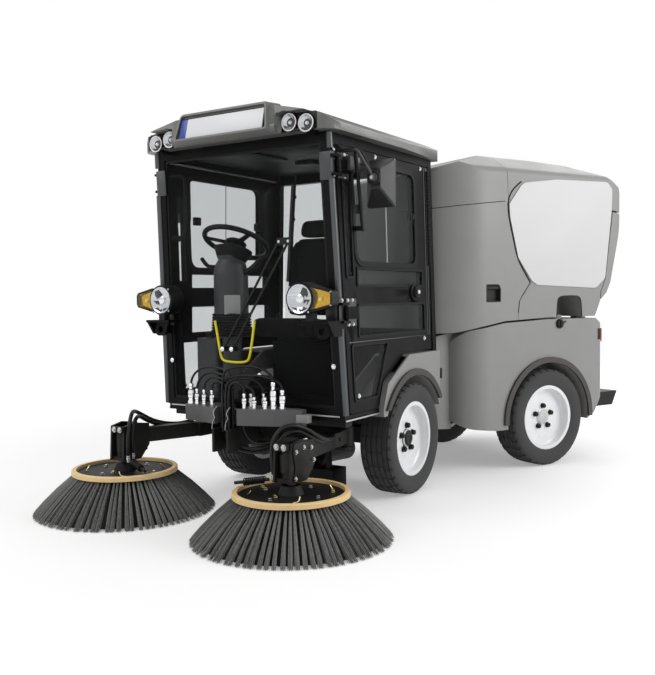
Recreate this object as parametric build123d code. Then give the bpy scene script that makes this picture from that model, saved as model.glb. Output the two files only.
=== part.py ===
"""Compact articulated road sweeper.

Millimetres.  Built in the front unit's frame: x to the vehicle's left, y to its rear, z up,
with the front axle over x = y = 0 on the ground.  The rear unit is built straight behind its
pivot and then swung to the angle at which the machine stands.
"""
import os
from math import atan2, cos, degrees, hypot, radians, sin

from build123d import *

# ---- stance ----------------------------------------------------------------------------
FRONT_AXLE_X = -117.0       # where the front axle stands in the part's own frame
FRONT_AXLE_Y = -357.0
PIVOT_Y = 448.0             # articulation pin behind the front axle
REAR_AXLE_Y = 1027.0        # rear axle behind the articulation pin
REST_TURN = 25.8            # the tail stands swung to the left by this, degrees
MAX_TURN = 36.0             # and can swing this far each way
AXLE_Z = 307.5
FIT = 0.3                   # running fit of pins, hubs and bearings
GAP = 6.0                   # least gap between pieces that move past each other
REACH = 3000.0              # beyond every piece, for cutting zones

# ---- wheels ----------------------------------------------------------------------------
TYRE_R = 307.5
TYRE_W = 195.0
RIM_R = 190.5               # bead seat, 15 inch
RIM_FLANGE_R = 208.0
RIM_W = 165.0
RIM_WALL = 8.0
RIM_LIP_T = 5.0
DISC_OFFSET = 24.0          # disc's back face outboard of the wheel's middle
DISC_T = 10.0
WHEEL_X = 507.5
HUB_BOLT_CIRCLE_R = 70.0
HUB_BOLTS = 5
NUT_R = 13.0
NUT_L = 18.0
HUB_CAP_R = 42.0
SPINDLE_R = 32.0
HUB_DRUM_R = 125.0
AXLE_BEAM = 90.0

# ---- front frame and cab ---------------------------------------------------------------
RAIL_X = 180.0              # frame rail's middle
RAIL_W = 60.0
RAIL_TOP = 455.0
LINKAGE_X = 38.0            # inner faces of the front linkage plates
LINKAGE_T = 14.0
REAR_RAIL_H = 60.0
SILL_Z = 515.0
FLOOR_T = 30.0
SEAT_BOX_TOP = 830.0
HEADER_Z = 1872.0
CAB_SILL_X = 572.0          # half width at the sill
CAB_TOP_X = 542.0           # half width under the roof
CAB_FRONT_Y = -700.0        # windscreen plane at the sill
CAB_RAKE = 76.0             # how much further forward it is under the roof
CAB_REAR_Y = 330.0
POST = 46.0
SCREEN_SILL_H = 36.0
REAR_WAIST_Z = 900.0        # top of the cab's rear wall, below its window
REAR_HEADER_H = 70.0
ROOF_X = 602.0
FENDER_TOP = 775.0
FENDER_REAR_Y = 325.0
ARCH_R = 352.0
ARCH_TRIM = 34.0
ARCH_TRIM_PROUD = 14.0
FENDER_X = 596.0
FENDER_INNER_X = 385.0
SKIN = 10.0
ROOF_TOP = 1968.0
FENDER_EDGE = ((-352.0, SILL_Z), (-300.0, 640.0), (-60.0, FENDER_TOP))
DRIVER_X = -195.0
WORK_LIGHT_R = 45.0
WORK_LIGHTS = ((366.0, 1924.0), (462.0, 1912.0))    # x and z of the left pair's middles
BROW_FACE = ((-908.0, 1888.0), (-880.0, 2002.0))   # y and z of the brow's foot and top
PLATE_W = 520.0
PLATE_H = 110.0
STEERING_HUB = (DRIVER_X, -550.0, 1390.0)
STEERING_TILT = 26.0
COLUMN_Y = -600.0
COLUMN_R = 92.0
BELLOWS_Z = 886.0           # foot of the column's bellows
BELLOWS_H = 126.0
LENS_X = 440.0              # headlamp's round lens
LENS_Z = 1086.0
LENS_R = 78.0
LAMP_FACE_Y = -870.0
LAMP_DEPTH = 84.0
LAMP_TIP_X = 600.0
LAMP_PLATE_Z = 980.0        # top of the shelf that carries the headlamp
EYE_X = 517.0               # lifting and lashing eye under the shelf
EYE_Y = -800.0
EYE_Z = 929.0
EYE_R = 18.0
EYE_T = 14.0
MIRROR_BACK = (585.0, 740.0, 1528.0, 1762.0)    # x and z of the mirror's open face
MIRROR_FRONT = (652.0, 708.0, 1610.0, 1712.0)   # and of its housing's blunt front
MIRROR_Y = (-485.0, -570.0)

CONSOLE_Z = 467.0
CONSOLE_TOP = 548.0
COUPLINGS = (               # x, y, height over the console
    (-269, -850, 105), (-225, -855, 80), (-173, -860, 78), (-121, -860, 78), (103, -882, 75),
    (108, -832, 70), (150, -862, 58), (176, -818, 72), (207, -850, 58), (243, -830, 132),
    (283, -810, 95),
)

# ---- doors -----------------------------------------------------------------------------
DOOR_T = 28.0
DOOR_REAR_Y = 282.0
DOOR_TOP_Z = 1822.0
DOOR_GLASS_T = 6.0
DOOR_WINDOWS = (            # outline in y and z, corner radius
    (((-545, 1262), (100, 1262), (100, 1762), (-570, 1762)), 60),
    (((-640, 1190), (-582, 1190), (-598, 1650), (-662, 1650)), 12),
    (((-590, 580), (-375, 580), (-250, 850), (-610, 850)), 15),
)
HINGE_PIN_R = 7.0
HINGE_STAND = 16.0          # hinge line outboard of the door's face
HINGE_AHEAD = 4.0           # and behind the post's back face
HINGE_ZS = (1015.0, 1715.0)
HINGE_H = 60.0

# ---- brooms ----------------------------------------------------------------------------
BROOM_X = 530.0             # drawing position, before the arm's rest swing
BROOM_Y = -1050.0
REST_SWING = {"left": -2.8, "right": 3.1}       # outwards from it, degrees
BROOM_FOOT_R = 468.0
BROOM_RING_R = 270.0
BROOM_RING_W = 24.0
BROOM_RING_TOP = 222.0
BROOM_RING_H = 24.0
BROOM_FOOT_Z = 2.0
BRISTLE_T = 42.0
BROOM_PLATE_T = 8.0
BROOM_SHAFT_R = 18.0
SWING_X = 420.0
SWING_Y = -430.0
SWING_PIN_R = 16.0
BRACKET_LOW_Z = 302.0       # lower faces of the swing pin's two lugs
BRACKET_HIGH_Z = 428.0
BRACKET_T = 14.0
LIFT_Y = -540.0
LIFT_Z = 372.0
LIFT_PIN_R = 12.0
SWING_IN = 4.0              # each arm swings in and out by these, degrees
SWING_OUT = 28.0
LIFT_UP = 12.0
ARM_H = 76.0
ARM_W = 60.0

# ---- rear unit (y from the articulation pin) --------------------------------------------
BODY_X = 600.0
BODY_FRONT_Y = 150.0
BODY_CORNER_R = 405.0       # upper body's front corners in plan
CORE_X = 450.0              # half width of the lower body ahead of its side pods
CORE_CORNER_R = 110.0
POD_FRONT_Y = 325.0
POD_CORNER_R = 200.0
POD_SHOULDER_R = 120.0
BODY_REAR_Y = 1527.0
BODY_BOTTOM = 262.0
BODY_TOP = 932.0
BODY_WALL = 12.0
TIP_Y = 1432.0              # hopper's tipping pins
TIP_Z = 958.0
TIP_PIN_R = 14.0
TIP_X = 470.0
HOPPER_GAP = 12.0
HOPPER_SEAM = (             # y and z of the joint between housing and hopper, from the top
    (560.0, 2400.0), (669.0, 1856.0), (679.0, 1650.0), (687.0, 1565.0), (754.0, 1316.0),
    (868.0, 1163.0), (773.0, 1056.0), (763.0, 982.0), (735.0, 700.0),
)
HOPPER_FRONT_Y = 105.0
HOPPER_REAR_Y = 1722.0
HOPPER_TOP = 1948.0
HOPPER_WALL = 12.0
SEAM = 3.0
GATE_T = 28.0
GATE_HINGE_Y = 1711.0
GATE_HINGE_Z = 1626.0
GATE_PIN_R = 6.0
GATE_KNUCKLE_R = 12.0
GATE_HINGE_X = 430.0
GATE_MAX = 80.0
TIP_MAX = 50.0
PIN_R = 30.0                # articulation pin
LUG_T = 24.0
LUG_UPPER_Z = 412.0
LUG_LOWER_Z = 248.0
TOW_Y = 1670.0             # towing pin's bore
TOW_Z = 309.0
TOW_BORE_R = 12.5


# ---- helpers ---------------------------------------------------------------------------
def block(x0, x1, y0, y1, z0, z1):
    """A box between two corners."""
    middle = Pos((x0 + x1) / 2, (y0 + y1) / 2, (z0 + z1) / 2)
    return middle * Box(abs(x1 - x0), abs(y1 - y0), abs(z1 - z0))


def face_of(points, radii):
    """A closed outline with one radius, or one for each corner."""
    return make_face(FilletPolyline(*points, radius=radii, close=True))


def side_plate(yz, x0, x1, radii=0):
    """An outline in y and z, from x0 to x1."""
    return extrude(Plane.YZ.offset(x0) * face_of(yz, radii), x1 - x0)


def plan_plate(xy, z0, z1, radii=0):
    """An outline in x and y, from z0 up to z1."""
    return extrude(Plane.XY.offset(z0) * face_of(xy, radii), z1 - z0)


def front_plate(xz, y0, y1, radii=0):
    """An outline in x and z, from y0 back to y1."""
    plane = Plane(origin=(0, y0, 0), x_dir=(1, 0, 0), z_dir=(0, -1, 0))
    return extrude(plane * face_of(xz, radii), -(y1 - y0))


def rod(start, end, radius):
    """A round bar between two points."""
    line = Vector(*end) - Vector(*start)
    return extrude(Plane(origin=start, z_dir=line) * Circle(radius), line.length)


def bar(start, end, width, depth, side=(1, 0, 0)):
    """A square bar between two points, its width lying along the side given."""
    line = Vector(*end) - Vector(*start)
    plane = Plane(origin=start, x_dir=side, z_dir=line)
    return extrude(plane * Rectangle(width, depth), line.length)


def hose(points, radii, radius):
    """A tube of straight runs and arcs."""
    path = FilletPolyline(*points, radius=radii)
    return sweep(Plane(origin=path @ 0, z_dir=path % 0) * Circle(radius), path=path)


def turned(profile, centre):
    """A profile of (x, r) points turned about the x axis through the centre."""
    face = make_face(Polyline(*[(x, r, 0) for x, r in profile], close=True))
    return Pos(*centre) * revolve(face, Axis.X)


def upright(profile, centre):
    """A profile of (r, z) points turned about the upright axis through the centre."""
    face = make_face(Polyline(*[(r, 0, z) for r, z in profile], close=True))
    return Pos(*centre) * revolve(face, Axis.Z)


def both(shape):
    """The shape with its mirror image on the other side."""
    return shape + mirror(shape, Plane.YZ)


def beside(path, gap):
    """The path's points but the last, moved to its left by the gap with mitred corners."""
    moved = []
    for index, (y, z) in enumerate(path[:-1]):
        ahead = Vector(*path[index + 1]) - Vector(y, z)
        behind = Vector(y, z) - Vector(*path[index - 1]) if index else ahead
        one = behind.normalized().rotate(Axis.Z, 90)
        two = ahead.normalized().rotate(Axis.Z, 90)
        shift = (one + two) * (gap / (1 + one.dot(two)))
        moved.append((y + shift.X, z + shift.Y))
    return moved


def sided(shape, side):
    """The left-hand shape, or its mirror image for the right."""
    return shape if side == "left" else mirror(shape, Plane.YZ)


def lean(shape):
    """Leans a piece of the left cab side inwards about its sill line."""
    angle = degrees(atan2(CAB_SILL_X - CAB_TOP_X, HEADER_Z - SILL_Z))
    turn = Pos(CAB_SILL_X, 0, SILL_Z) * Rot(0, -angle, 0) * Pos(-CAB_SILL_X, 0, -SILL_Z)
    return turn * shape


def front_y(z):
    """The windscreen plane's y at a height."""
    return CAB_FRONT_Y - CAB_RAKE * (z - SILL_Z) / (HEADER_Z - SILL_Z)


def rear(shape):
    """Moves a piece of the rear unit from its straight frame to where it stands."""
    return Pos(0, PIVOT_Y, 0) * Rot(0, 0, -REST_TURN) * shape


def save(name, *shapes):
    """Writes one node in the part's own frame."""
    moved = [Pos(FRONT_AXLE_X, FRONT_AXLE_Y, 0) * shape for shape in shapes]
    solids = [solid for shape in moved for solid in shape.solids()]
    whole = solids[0] if len(solids) == 1 else Compound(solids)
    export_step(whole, f"parts/{name}.step")


# ---- wheels and axles ------------------------------------------------------------------
def tyre(centre):
    half = TYRE_W / 2
    bead = RIM_W / 2 - RIM_LIP_T - FIT
    lip = RIM_FLANGE_R + 4
    profile = [
        (-bead, RIM_R + FIT), (-bead, lip), (-half + 4, 236), (-half, 258), (-half + 6, 280),
        (-half + 22, 300), (-half + 42, TYRE_R), (half - 42, TYRE_R), (half - 22, 300),
        (half - 6, 280), (half, 258), (half - 4, 236), (bead, lip), (bead, RIM_R + FIT),
    ]
    return turned(profile, centre)


def rim(centre, outward):
    """A steel rim with its disc towards the outward side (+1 or -1), nuts and hub cap."""
    half = RIM_W / 2
    inner = RIM_R - RIM_WALL
    well = RIM_R - 16
    lip = RIM_FLANGE_R
    barrel = turned(
        [
            (-half, lip), (-half, inner), (-half + 40, inner), (-half + 52, well - RIM_WALL),
            (half - 52, well - RIM_WALL), (half - 40, inner), (half, inner), (half, lip),
            (half - RIM_LIP_T, lip), (half - RIM_LIP_T, RIM_R), (half - 40, RIM_R), (half - 52, well),
            (-half + 52, well), (-half + 40, RIM_R), (-half + RIM_LIP_T, RIM_R), (-half + RIM_LIP_T, lip),
        ],
        (0, 0, 0),
    )
    disc = turned(
        [
            (DISC_OFFSET, SPINDLE_R + FIT), (DISC_OFFSET, well - 2), (DISC_OFFSET + DISC_T, well - 2),
            (DISC_OFFSET + DISC_T, HUB_CAP_R + 8), (DISC_OFFSET + DISC_T + 14, HUB_CAP_R),
            (DISC_OFFSET + DISC_T + 14, 0), (DISC_OFFSET + DISC_T + 4, 0),
            (DISC_OFFSET + DISC_T + 4, SPINDLE_R + FIT),
        ],
        (0, 0, 0),
    )
    body = barrel + disc
    for index in range(HUB_BOLTS):
        angle = radians(90 + index * 360 / HUB_BOLTS)
        y = HUB_BOLT_CIRCLE_R * cos(angle)
        z = HUB_BOLT_CIRCLE_R * sin(angle)
        start = DISC_OFFSET + DISC_T / 2
        body += rod((start, y, z), (DISC_OFFSET + DISC_T + NUT_L, y, z), NUT_R)
    if outward < 0:
        body = mirror(body, Plane.YZ)
    return Pos(*centre) * body


def axle(y):
    """A beam with a wheel motor at each end and a spindle in each wheel's disc."""
    drum_end = WHEEL_X + DISC_OFFSET - GAP
    beam = block(-330, 330, y - AXLE_BEAM / 2, y + AXLE_BEAM / 2, AXLE_Z - AXLE_BEAM / 2,
                 AXLE_Z + AXLE_BEAM / 2)
    drum = rod((320, y, AXLE_Z), (drum_end, y, AXLE_Z), HUB_DRUM_R)
    spindle_end = WHEEL_X + DISC_OFFSET + DISC_T + 4 - FIT
    spindle = rod((drum_end - 5, y, AXLE_Z), (spindle_end, y, AXLE_Z), SPINDLE_R)
    return beam + both(drum + spindle)


def make_wheels():
    for side, sign in (("left", 1), ("right", -1)):
        front = (sign * WHEEL_X, 0, AXLE_Z)
        back = (sign * WHEEL_X, REAR_AXLE_Y, AXLE_Z)
        save(f"tyre_front_{side}", tyre(front))
        save(f"rim_front_{side}", rim(front, sign))
        save(f"tyre_rear_{side}", rear(tyre(back)))
        save(f"rim_rear_{side}", rear(rim(back, sign)))
    save("front_axle", axle(0))
    save("rear_axle", rear(axle(REAR_AXLE_Y)))


# ---- front frame -----------------------------------------------------------------------
def make_front_chassis():
    axle_top = AXLE_Z + AXLE_BEAM / 2
    rails = both(block(RAIL_X - RAIL_W / 2, RAIL_X + RAIL_W / 2, -660, 300, axle_top, RAIL_TOP))
    frame = rails + block(-RAIL_X, RAIL_X, -660, -590, axle_top, RAIL_TOP)
    frame += block(-RAIL_X, RAIL_X, 240, 300, axle_top, RAIL_TOP)
    # bearers under the floor out to the sills
    frame += block(-CAB_SILL_X + 20, CAB_SILL_X - 20, -660, -600, RAIL_TOP, SILL_Z - FLOOR_T)
    frame += block(-RAIL_X, RAIL_X, 180, 270, RAIL_TOP, SILL_Z - FLOOR_T)
    # articulation lugs
    back = block(-RAIL_X, RAIL_X, 270, 300, LUG_LOWER_Z - LUG_T / 2, RAIL_TOP)
    frame += back
    for z in (LUG_LOWER_Z, LUG_UPPER_Z):
        lug = plan_plate([(-150, 280), (150, 280), (62, PIVOT_Y + 62), (-62, PIVOT_Y + 62)],
                         z - LUG_T / 2, z + LUG_T / 2, [0, 0, 55, 55])
        frame += lug
    frame -= rod((0, PIVOT_Y, LUG_LOWER_Z - 40), (0, PIVOT_Y, LUG_UPPER_Z + 40), PIN_R + FIT)
    # front linkage plates between the coupling consoles
    linkage = side_plate([(-985, 330), (-985, 640), (-940, 640), (-900, 600), (-850, 470), (-650, 440),
                          (-650, 370), (-900, 330)], LINKAGE_X, LINKAGE_X + LINKAGE_T)
    frame += both(linkage)
    frame += block(-LINKAGE_X - LINKAGE_T, LINKAGE_X + LINKAGE_T, -700, -650, 400, RAIL_TOP)
    frame += rod((-LINKAGE_X - 2, -955, 615), (LINKAGE_X + 2, -955, 615), 12)
    save("front_chassis", frame)


def make_broom_brackets():
    """A plate on each frame rail with two lugs that hold a broom arm's upright pin."""
    inner = RAIL_X + RAIL_W / 2 + FIT
    plate = block(inner, inner + 20, SWING_Y - 60, SWING_Y + 100, BRACKET_LOW_Z,
                  BRACKET_HIGH_Z + BRACKET_T)
    pieces = [plate]
    foot = inner + 20 + FIT
    for z in (BRACKET_LOW_Z, BRACKET_HIGH_Z):
        lug = plan_plate(
            [(foot, SWING_Y - 50), (SWING_X, SWING_Y - 42), (SWING_X + 42, SWING_Y),
             (SWING_X, SWING_Y + 42), (foot, SWING_Y + 90)], z, z + BRACKET_T, [0, 34, 34, 34, 0])
        lug -= rod((SWING_X, SWING_Y, z - 5), (SWING_X, SWING_Y, z + BRACKET_T + 5),
                   SWING_PIN_R + FIT)
        pieces.append(lug)
    save("broom_brackets", *pieces, *[mirror(piece, Plane.YZ) for piece in pieces])


def make_cab_floor():
    """Floor pan, raised seat box between the wheels, and the rear wall's foot."""
    half = CAB_SILL_X - 4
    front = block(-half, half, CAB_FRONT_Y + 8, FENDER_EDGE[0][0] - FIT, SILL_Z - FLOOR_T, SILL_Z)
    back = block(-FENDER_INNER_X + FIT, FENDER_INNER_X - FIT, FENDER_EDGE[0][0] - 1, CAB_REAR_Y - 8,
                 SILL_Z - FLOOR_T, SILL_Z)
    box = block(-320, 320, -60, 300, SILL_Z - 5, SEAT_BOX_TOP)
    box -= block(-308, 308, -48, 288, SILL_Z, SEAT_BOX_TOP - 12)
    save("cab_floor", front + back + box)


def fender(side):
    """A hollow box over the wheel with its outer skin cut to the arch."""
    outline = [*FENDER_EDGE, (FENDER_REAR_Y, FENDER_TOP), (FENDER_REAR_Y, 380),
               (FENDER_EDGE[0][0], 380)]
    outer = side_plate(outline, FENDER_INNER_X, FENDER_X)
    wheel = rod((300, 0, AXLE_Z), (700, 0, AXLE_Z), ARCH_R)
    liner = rod((FENDER_INNER_X, 0, AXLE_Z), (FENDER_X, 0, AXLE_Z), ARCH_R + SKIN) & outer
    inside = block(FENDER_INNER_X + SKIN, FENDER_X - SKIN, -340, FENDER_REAR_Y - SKIN, 300,
                   FENDER_TOP - SKIN)
    body = (outer - inside) + liner - wheel
    body -= block(FENDER_INNER_X - 1, FENDER_X + 1, -400, 400, 0, 470)
    body += side_plate([(250, 460), (FENDER_REAR_Y, 460), (FENDER_REAR_Y, 520), (250, 520)],
                       FENDER_INNER_X, FENDER_X) - wheel
    keep = max(body.solids(), key=lambda solid: solid.volume)
    return sided(keep, side)


def make_fenders():
    bodies = [fender(side) for side in ("left", "right")]
    save("front_fenders", *bodies)
    start = FENDER_X + FIT
    trim = rod((start, 0, AXLE_Z), (start + ARCH_TRIM_PROUD, 0, AXLE_Z), ARCH_R + ARCH_TRIM)
    trim -= rod((start - 1, 0, AXLE_Z), (start + 100, 0, AXLE_Z), ARCH_R)
    trim -= block(0, 900, -500, 500, -200, 500)
    trim -= block(0, 900, FENDER_REAR_Y, 500, 0, 900)
    save("front_arch_trims", trim, mirror(trim, Plane.YZ))


# ---- cab -------------------------------------------------------------------------------
def side_line(z, y):
    """A point on the left cab side's outer face."""
    share = (z - SILL_Z) / (HEADER_Z - SILL_Z)
    return (CAB_SILL_X - (CAB_SILL_X - CAB_TOP_X) * share, y, z)


def make_cab_frame():
    """A leaning front ring, an upright rear ring and the two side rails between them."""
    half = POST / 2
    foot_x = CAB_SILL_X - half
    top_x = CAB_TOP_X - half
    rail_z = HEADER_Z - half
    a_post = bar((foot_x, CAB_FRONT_Y + half, SILL_Z), (top_x, front_y(HEADER_Z) + half, HEADER_Z),
                 POST, POST)
    front = both(a_post)
    front += block(-top_x, top_x, front_y(rail_z), front_y(rail_z) + POST, HEADER_Z - POST,
                   HEADER_Z)
    front += block(-foot_x, foot_x, CAB_FRONT_Y, CAB_FRONT_Y + POST, SILL_Z, SILL_Z + SCREEN_SILL_H)
    for z in HINGE_ZS:
        front += both(hinge_bracket(z))
    front += both(lamp_bracket())
    front -= block(-700, 700, -900, 400, 0, SILL_Z + FIT)
    front -= block(-700, 700, -900, 400, HEADER_Z, HEADER_Z + 100)
    low = FENDER_TOP + FIT
    back = both(bar((foot_x, CAB_REAR_Y - half, low), (top_x, CAB_REAR_Y - half, HEADER_Z), POST, POST))
    back += block(-top_x, top_x, CAB_REAR_Y - POST, CAB_REAR_Y, HEADER_Z - REAR_HEADER_H, HEADER_Z)
    back += block(-FENDER_INNER_X + 2, FENDER_INNER_X - 2, CAB_REAR_Y - 7, CAB_REAR_Y, SILL_Z + FIT,
                  REAR_WAIST_Z)
    back += block(-foot_x, foot_x, CAB_REAR_Y - 20, CAB_REAR_Y, low, REAR_WAIST_Z)
    back -= block(-700, 700, 0, 400, HEADER_Z, HEADER_Z + 100)
    back -= both(block(FENDER_INNER_X - 2, 700, 0, 400, 0, low))
    rail = block(top_x - half, top_x + half, front_y(rail_z) + POST + 1, CAB_REAR_Y - POST - FIT,
                 HEADER_Z - POST, HEADER_Z)
    save("cab_frame", front, back, rail, mirror(rail, Plane.YZ))


def hinge_point(z):
    """The hinge line's x and y at a height: just outside and ahead of the door."""
    x = side_line(z, 0)[0] + HINGE_STAND
    return x, front_y(z) + POST + HINGE_AHEAD


def hinge_bracket(z):
    """Two ears from the post with a pin between them."""
    px, py = hinge_point(z + 50)
    qx, qy = hinge_point(z - 50)
    bracket = rod((qx, qy, z - 50), (px, py, z + 50), HINGE_PIN_R)
    for dz in (-50, 38):
        hx, hy = hinge_point(z + dz + 6)
        inner = side_line(z + dz, 0)[0] - 6
        ear = block(inner, hx + 12, hy - 50, hy + 12, z + dz, z + dz + 12)
        ear -= block(inner - 5, side_line(z, 0)[0] + 7, front_y(z) + POST + 0.5, hy + 20,
                     z + dz - 1, z + dz + 13)
        bracket += ear
    return bracket


def lamp_bracket():
    """A shelf ahead of the post for the headlamp, with an eye plate under it."""
    top = LAMP_PLATE_Z
    low = EYE_Z - 24
    outer = LAMP_TIP_X - 20
    shelf = block(LENS_X - 20, outer, -850, -745, top - 12, top)
    web = side_plate([(-850, top - 4), (-800, low), (-700, low), (-700, top)], outer - EYE_T, outer)
    lug = front_plate([(EYE_X - 62, top - 6), (EYE_X - 30, EYE_Z - 34), (EYE_X + 30, EYE_Z - 34),
                       (EYE_X + 62, top - 6)], EYE_Y - EYE_T / 2, EYE_Y + EYE_T / 2,
                      [0, 26, 26, 0])
    arm = block(outer - 60, outer, -760, -700, low, top)
    hole = rod((EYE_X, EYE_Y - 20, EYE_Z), (EYE_X, EYE_Y + 20, EYE_Z), EYE_R)
    return shelf + web + arm + lug - hole


def work_light(x, z, room):
    """A round lamp let into the roof's brow, or its pocket with room around it."""
    return rod((x, -904, z - 4), (x, -820, z + 2), WORK_LIGHT_R + room)


def make_roof():
    """A cap with drooping eaves and a raised brow at the front."""
    base = HEADER_Z + FIT
    side = side_plate(
        [(-892, base), *BROW_FACE, (-800, 1998), (-640, ROOF_TOP + 6),
         (60, ROOF_TOP - 4), (392, ROOF_TOP - 30), (422, base + 12), (400, base)],
        -ROOF_X, ROOF_X)
    plan = plan_plate([(-455, -905), (455, -905), (ROOF_X, -800), (ROOF_X, -120), (ROOF_X - 12, 60),
                       (560, 422), (-560, 422), (-ROOF_X + 12, 60), (-ROOF_X, -120), (-ROOF_X, -800)],
                      base - 20, 2010, [60, 60, 90, 0, 0, 60, 60, 0, 0, 90])
    cross = front_plate([(-ROOF_X, base), (ROOF_X, base), (ROOF_X, ROOF_TOP - 63),
                         (540, ROOF_TOP - 20), (300, ROOF_TOP + 36), (-300, ROOF_TOP + 36),
                         (-540, ROOF_TOP - 20), (-ROOF_X, ROOF_TOP - 63)], -920, 440)
    cap = side & plan & cross
    cap -= block(-480, 480, -700, 280, base - 1, ROOF_TOP - 43)
    for x, z in WORK_LIGHTS:
        cap -= both(work_light(x, z, FIT))
    save("cab_roof", cap)


def make_cab_glass():
    low = SILL_Z + SCREEN_SILL_H + FIT
    high = HEADER_Z - POST - 1
    y_low = front_y(low) + 10
    y_high = front_y(high) + 10
    low_x = side_line(low, 0)[0] - POST - 4
    high_x = side_line(high, 0)[0] - POST - 4
    sheet_height = hypot(high - low, y_high - y_low)
    plane = Plane(origin=(0, y_low, low), x_dir=(1, 0, 0), z_dir=(0, -(high - low), y_high - y_low))
    sheet = plane * face_of([(-low_x, 0), (low_x, 0), (high_x, sheet_height),
                             (-high_x, sheet_height)], 0)
    screen = extrude(sheet, -6)
    back = block(-high_x, high_x, CAB_REAR_Y - 14, CAB_REAR_Y - 8, REAR_WAIST_Z + FIT,
                 HEADER_Z - REAR_HEADER_H - FIT)
    save("cab_glass", screen, back)


def make_seat():
    x = DRIVER_X
    deck = SEAT_BOX_TOP + FIT
    save("seat_base", block(x - 120, x + 120, -10, 270, deck, deck + 30))
    low = deck + 30 + FIT
    cushion = side_plate([(-180, low), (260, low), (260, 950), (-120, 975), (-180, 940)],
                         x - 225, x + 225, [10, 10, 20, 40, 30])
    save("seat_cushion", cushion)
    backrest = side_plate([(150, 958.5), (258, 950.3), (290, 1200), (300, 1450), (225, 1470),
                           (190, 1300)], x - 185, x + 185, [10, 10, 60, 25, 25, 60])
    headrest = side_plate([(235, 1440), (298, 1440), (302, 1560), (262, 1575), (238, 1550)],
                          x - 122, x + 122, [0, 0, 15, 15, 20])
    save("seat_back", backrest + headrest)


def make_steering():
    """The pedestal with its bellows, the steering wheel and the washer tank beside them."""
    x = DRIVER_X
    z0 = BELLOWS_Z
    z1 = BELLOWS_Z + BELLOWS_H
    column = upright([(0, SILL_Z + FIT), (52, SILL_Z + FIT), (52, z0), (COLUMN_R + 10, z0),
                      (COLUMN_R + 6, z1), (COLUMN_R, z1), (COLUMN_R, 1225), (COLUMN_R - 10, 1272),
                      (COLUMN_R - 26, 1298), (COLUMN_R - 20, 1320), (0, 1320)], (x, COLUMN_Y, 0))
    tilt = Pos(*STEERING_HUB) * Rot(-STEERING_TILT, 0, 0)
    shaft = tilt * Pos(0, 0, -95) * Cylinder(30, 93)
    save("steering_column", column + shaft)
    wheel = Torus(175, 14) + Pos(0, 0, -28) * Cylinder(38, 40)
    for angle in (90, 210, 330):
        tip = (172 * cos(radians(angle)), 172 * sin(radians(angle)), 0)
        wheel += bar((0, 0, -22), tip, 12, 26, side=(0, 0, 1))
    save("steering_wheel", tilt * wheel)
    tank = block(x - 210, x - 62, -652, -568, SILL_Z + FIT, BELLOWS_Z - 10)
    tank = fillet(tank.edges().filter_by(Axis.Z), 18)
    save("washer_tank", tank + rod((x - 140, -612, BELLOWS_Z - 12), (x - 140, -612, BELLOWS_Z + 8), 22))


# ---- doors -----------------------------------------------------------------------------
def door_outline():
    """Points of the door's edge in y and z."""
    front_low = front_y(SILL_Z) + POST + 8
    front_top = front_y(DOOR_TOP_Z) + POST + 8
    low, knee, crest = beside([*FENDER_EDGE, (0, FENDER_TOP)], GAP + 4)
    return [(front_low, low[1]), low, knee, crest, (DOOR_REAR_Y, crest[1]),
            (DOOR_REAR_Y, DOOR_TOP_Z), (front_top, DOOR_TOP_Z)]


def make_door(side):
    face_x = CAB_SILL_X
    inner_x = face_x - DOOR_T
    panel = side_plate(door_outline(), inner_x, face_x, [12, 12, 20, 30, 12, 30, 12])
    for points, radius in DOOR_WINDOWS:
        panel -= side_plate(points, inner_x - 1, face_x + 1, radius)
    panel += rod((face_x - 2, 56, 1113), (face_x + 34, 56, 1113), 36)
    panel = lean(panel)
    for z in HINGE_ZS:
        x0, y0 = hinge_point(z - 30)
        x1, y1 = hinge_point(z + 30)
        leaf = block(side_line(z, 0)[0] - 8, x0 + 8, y0 + 2, y0 + 90, z - 30, z + 30)
        knuckle = rod((x0, y0, z - 30), (x1, y1, z + 30), HINGE_PIN_R + 7)
        hole = rod((x0, y0, z - 31), (x1, y1, z + 31), HINGE_PIN_R + FIT)
        panel += leaf + knuckle
        panel -= hole
    save(f"door_{side}", sided(panel, side))
    pane_x = face_x - 14
    panes = []
    for points, radius in DOOR_WINDOWS:
        edge = offset(face_of(points, radius), -FIT)
        pane = extrude(Plane.YZ.offset(pane_x) * edge, DOOR_GLASS_T)
        panes.append(sided(lean(pane), side))
    save(f"door_glass_{side}", *panes)
    save(f"mirror_{side}", sided(mirror_piece(), side))


def mirror_piece():
    """A two-bend arm from the door's front edge, a clamp and the tapered housing."""
    z = 1790
    foot = (side_line(z, 0)[0] + 2 * FIT, -668, z)
    x0, x1, z0, z1 = MIRROR_FRONT
    clamp = ((x0 + x1) / 2, MIRROR_Y[1] - 12, (z0 + z1) / 2)
    arm = hose([foot, (clamp[0] - 45, -668, z), (clamp[0], clamp[1] - 8, clamp[2])], [22], 8)
    ball = Pos(*clamp) * Sphere(26)
    faces = []
    for (a, b, c, d), y in ((MIRROR_BACK, MIRROR_Y[0]), (MIRROR_FRONT, MIRROR_Y[1])):
        plane = Plane(origin=((a + b) / 2, y, (c + d) / 2), x_dir=(1, 0, 0), z_dir=(0, -1, 0))
        faces.append(plane * RectangleRounded(b - a, d - c, 12))
    rim_plane = Plane(origin=((MIRROR_BACK[0] + MIRROR_BACK[1]) / 2, MIRROR_Y[0],
                              (MIRROR_BACK[2] + MIRROR_BACK[3]) / 2), x_dir=(1, 0, 0), z_dir=(0, -1, 0))
    rim_face = rim_plane * RectangleRounded(MIRROR_BACK[1] - MIRROR_BACK[0],
                                            MIRROR_BACK[3] - MIRROR_BACK[2], 12)
    return arm + ball + loft(faces) + extrude(rim_face, -12)


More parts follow.
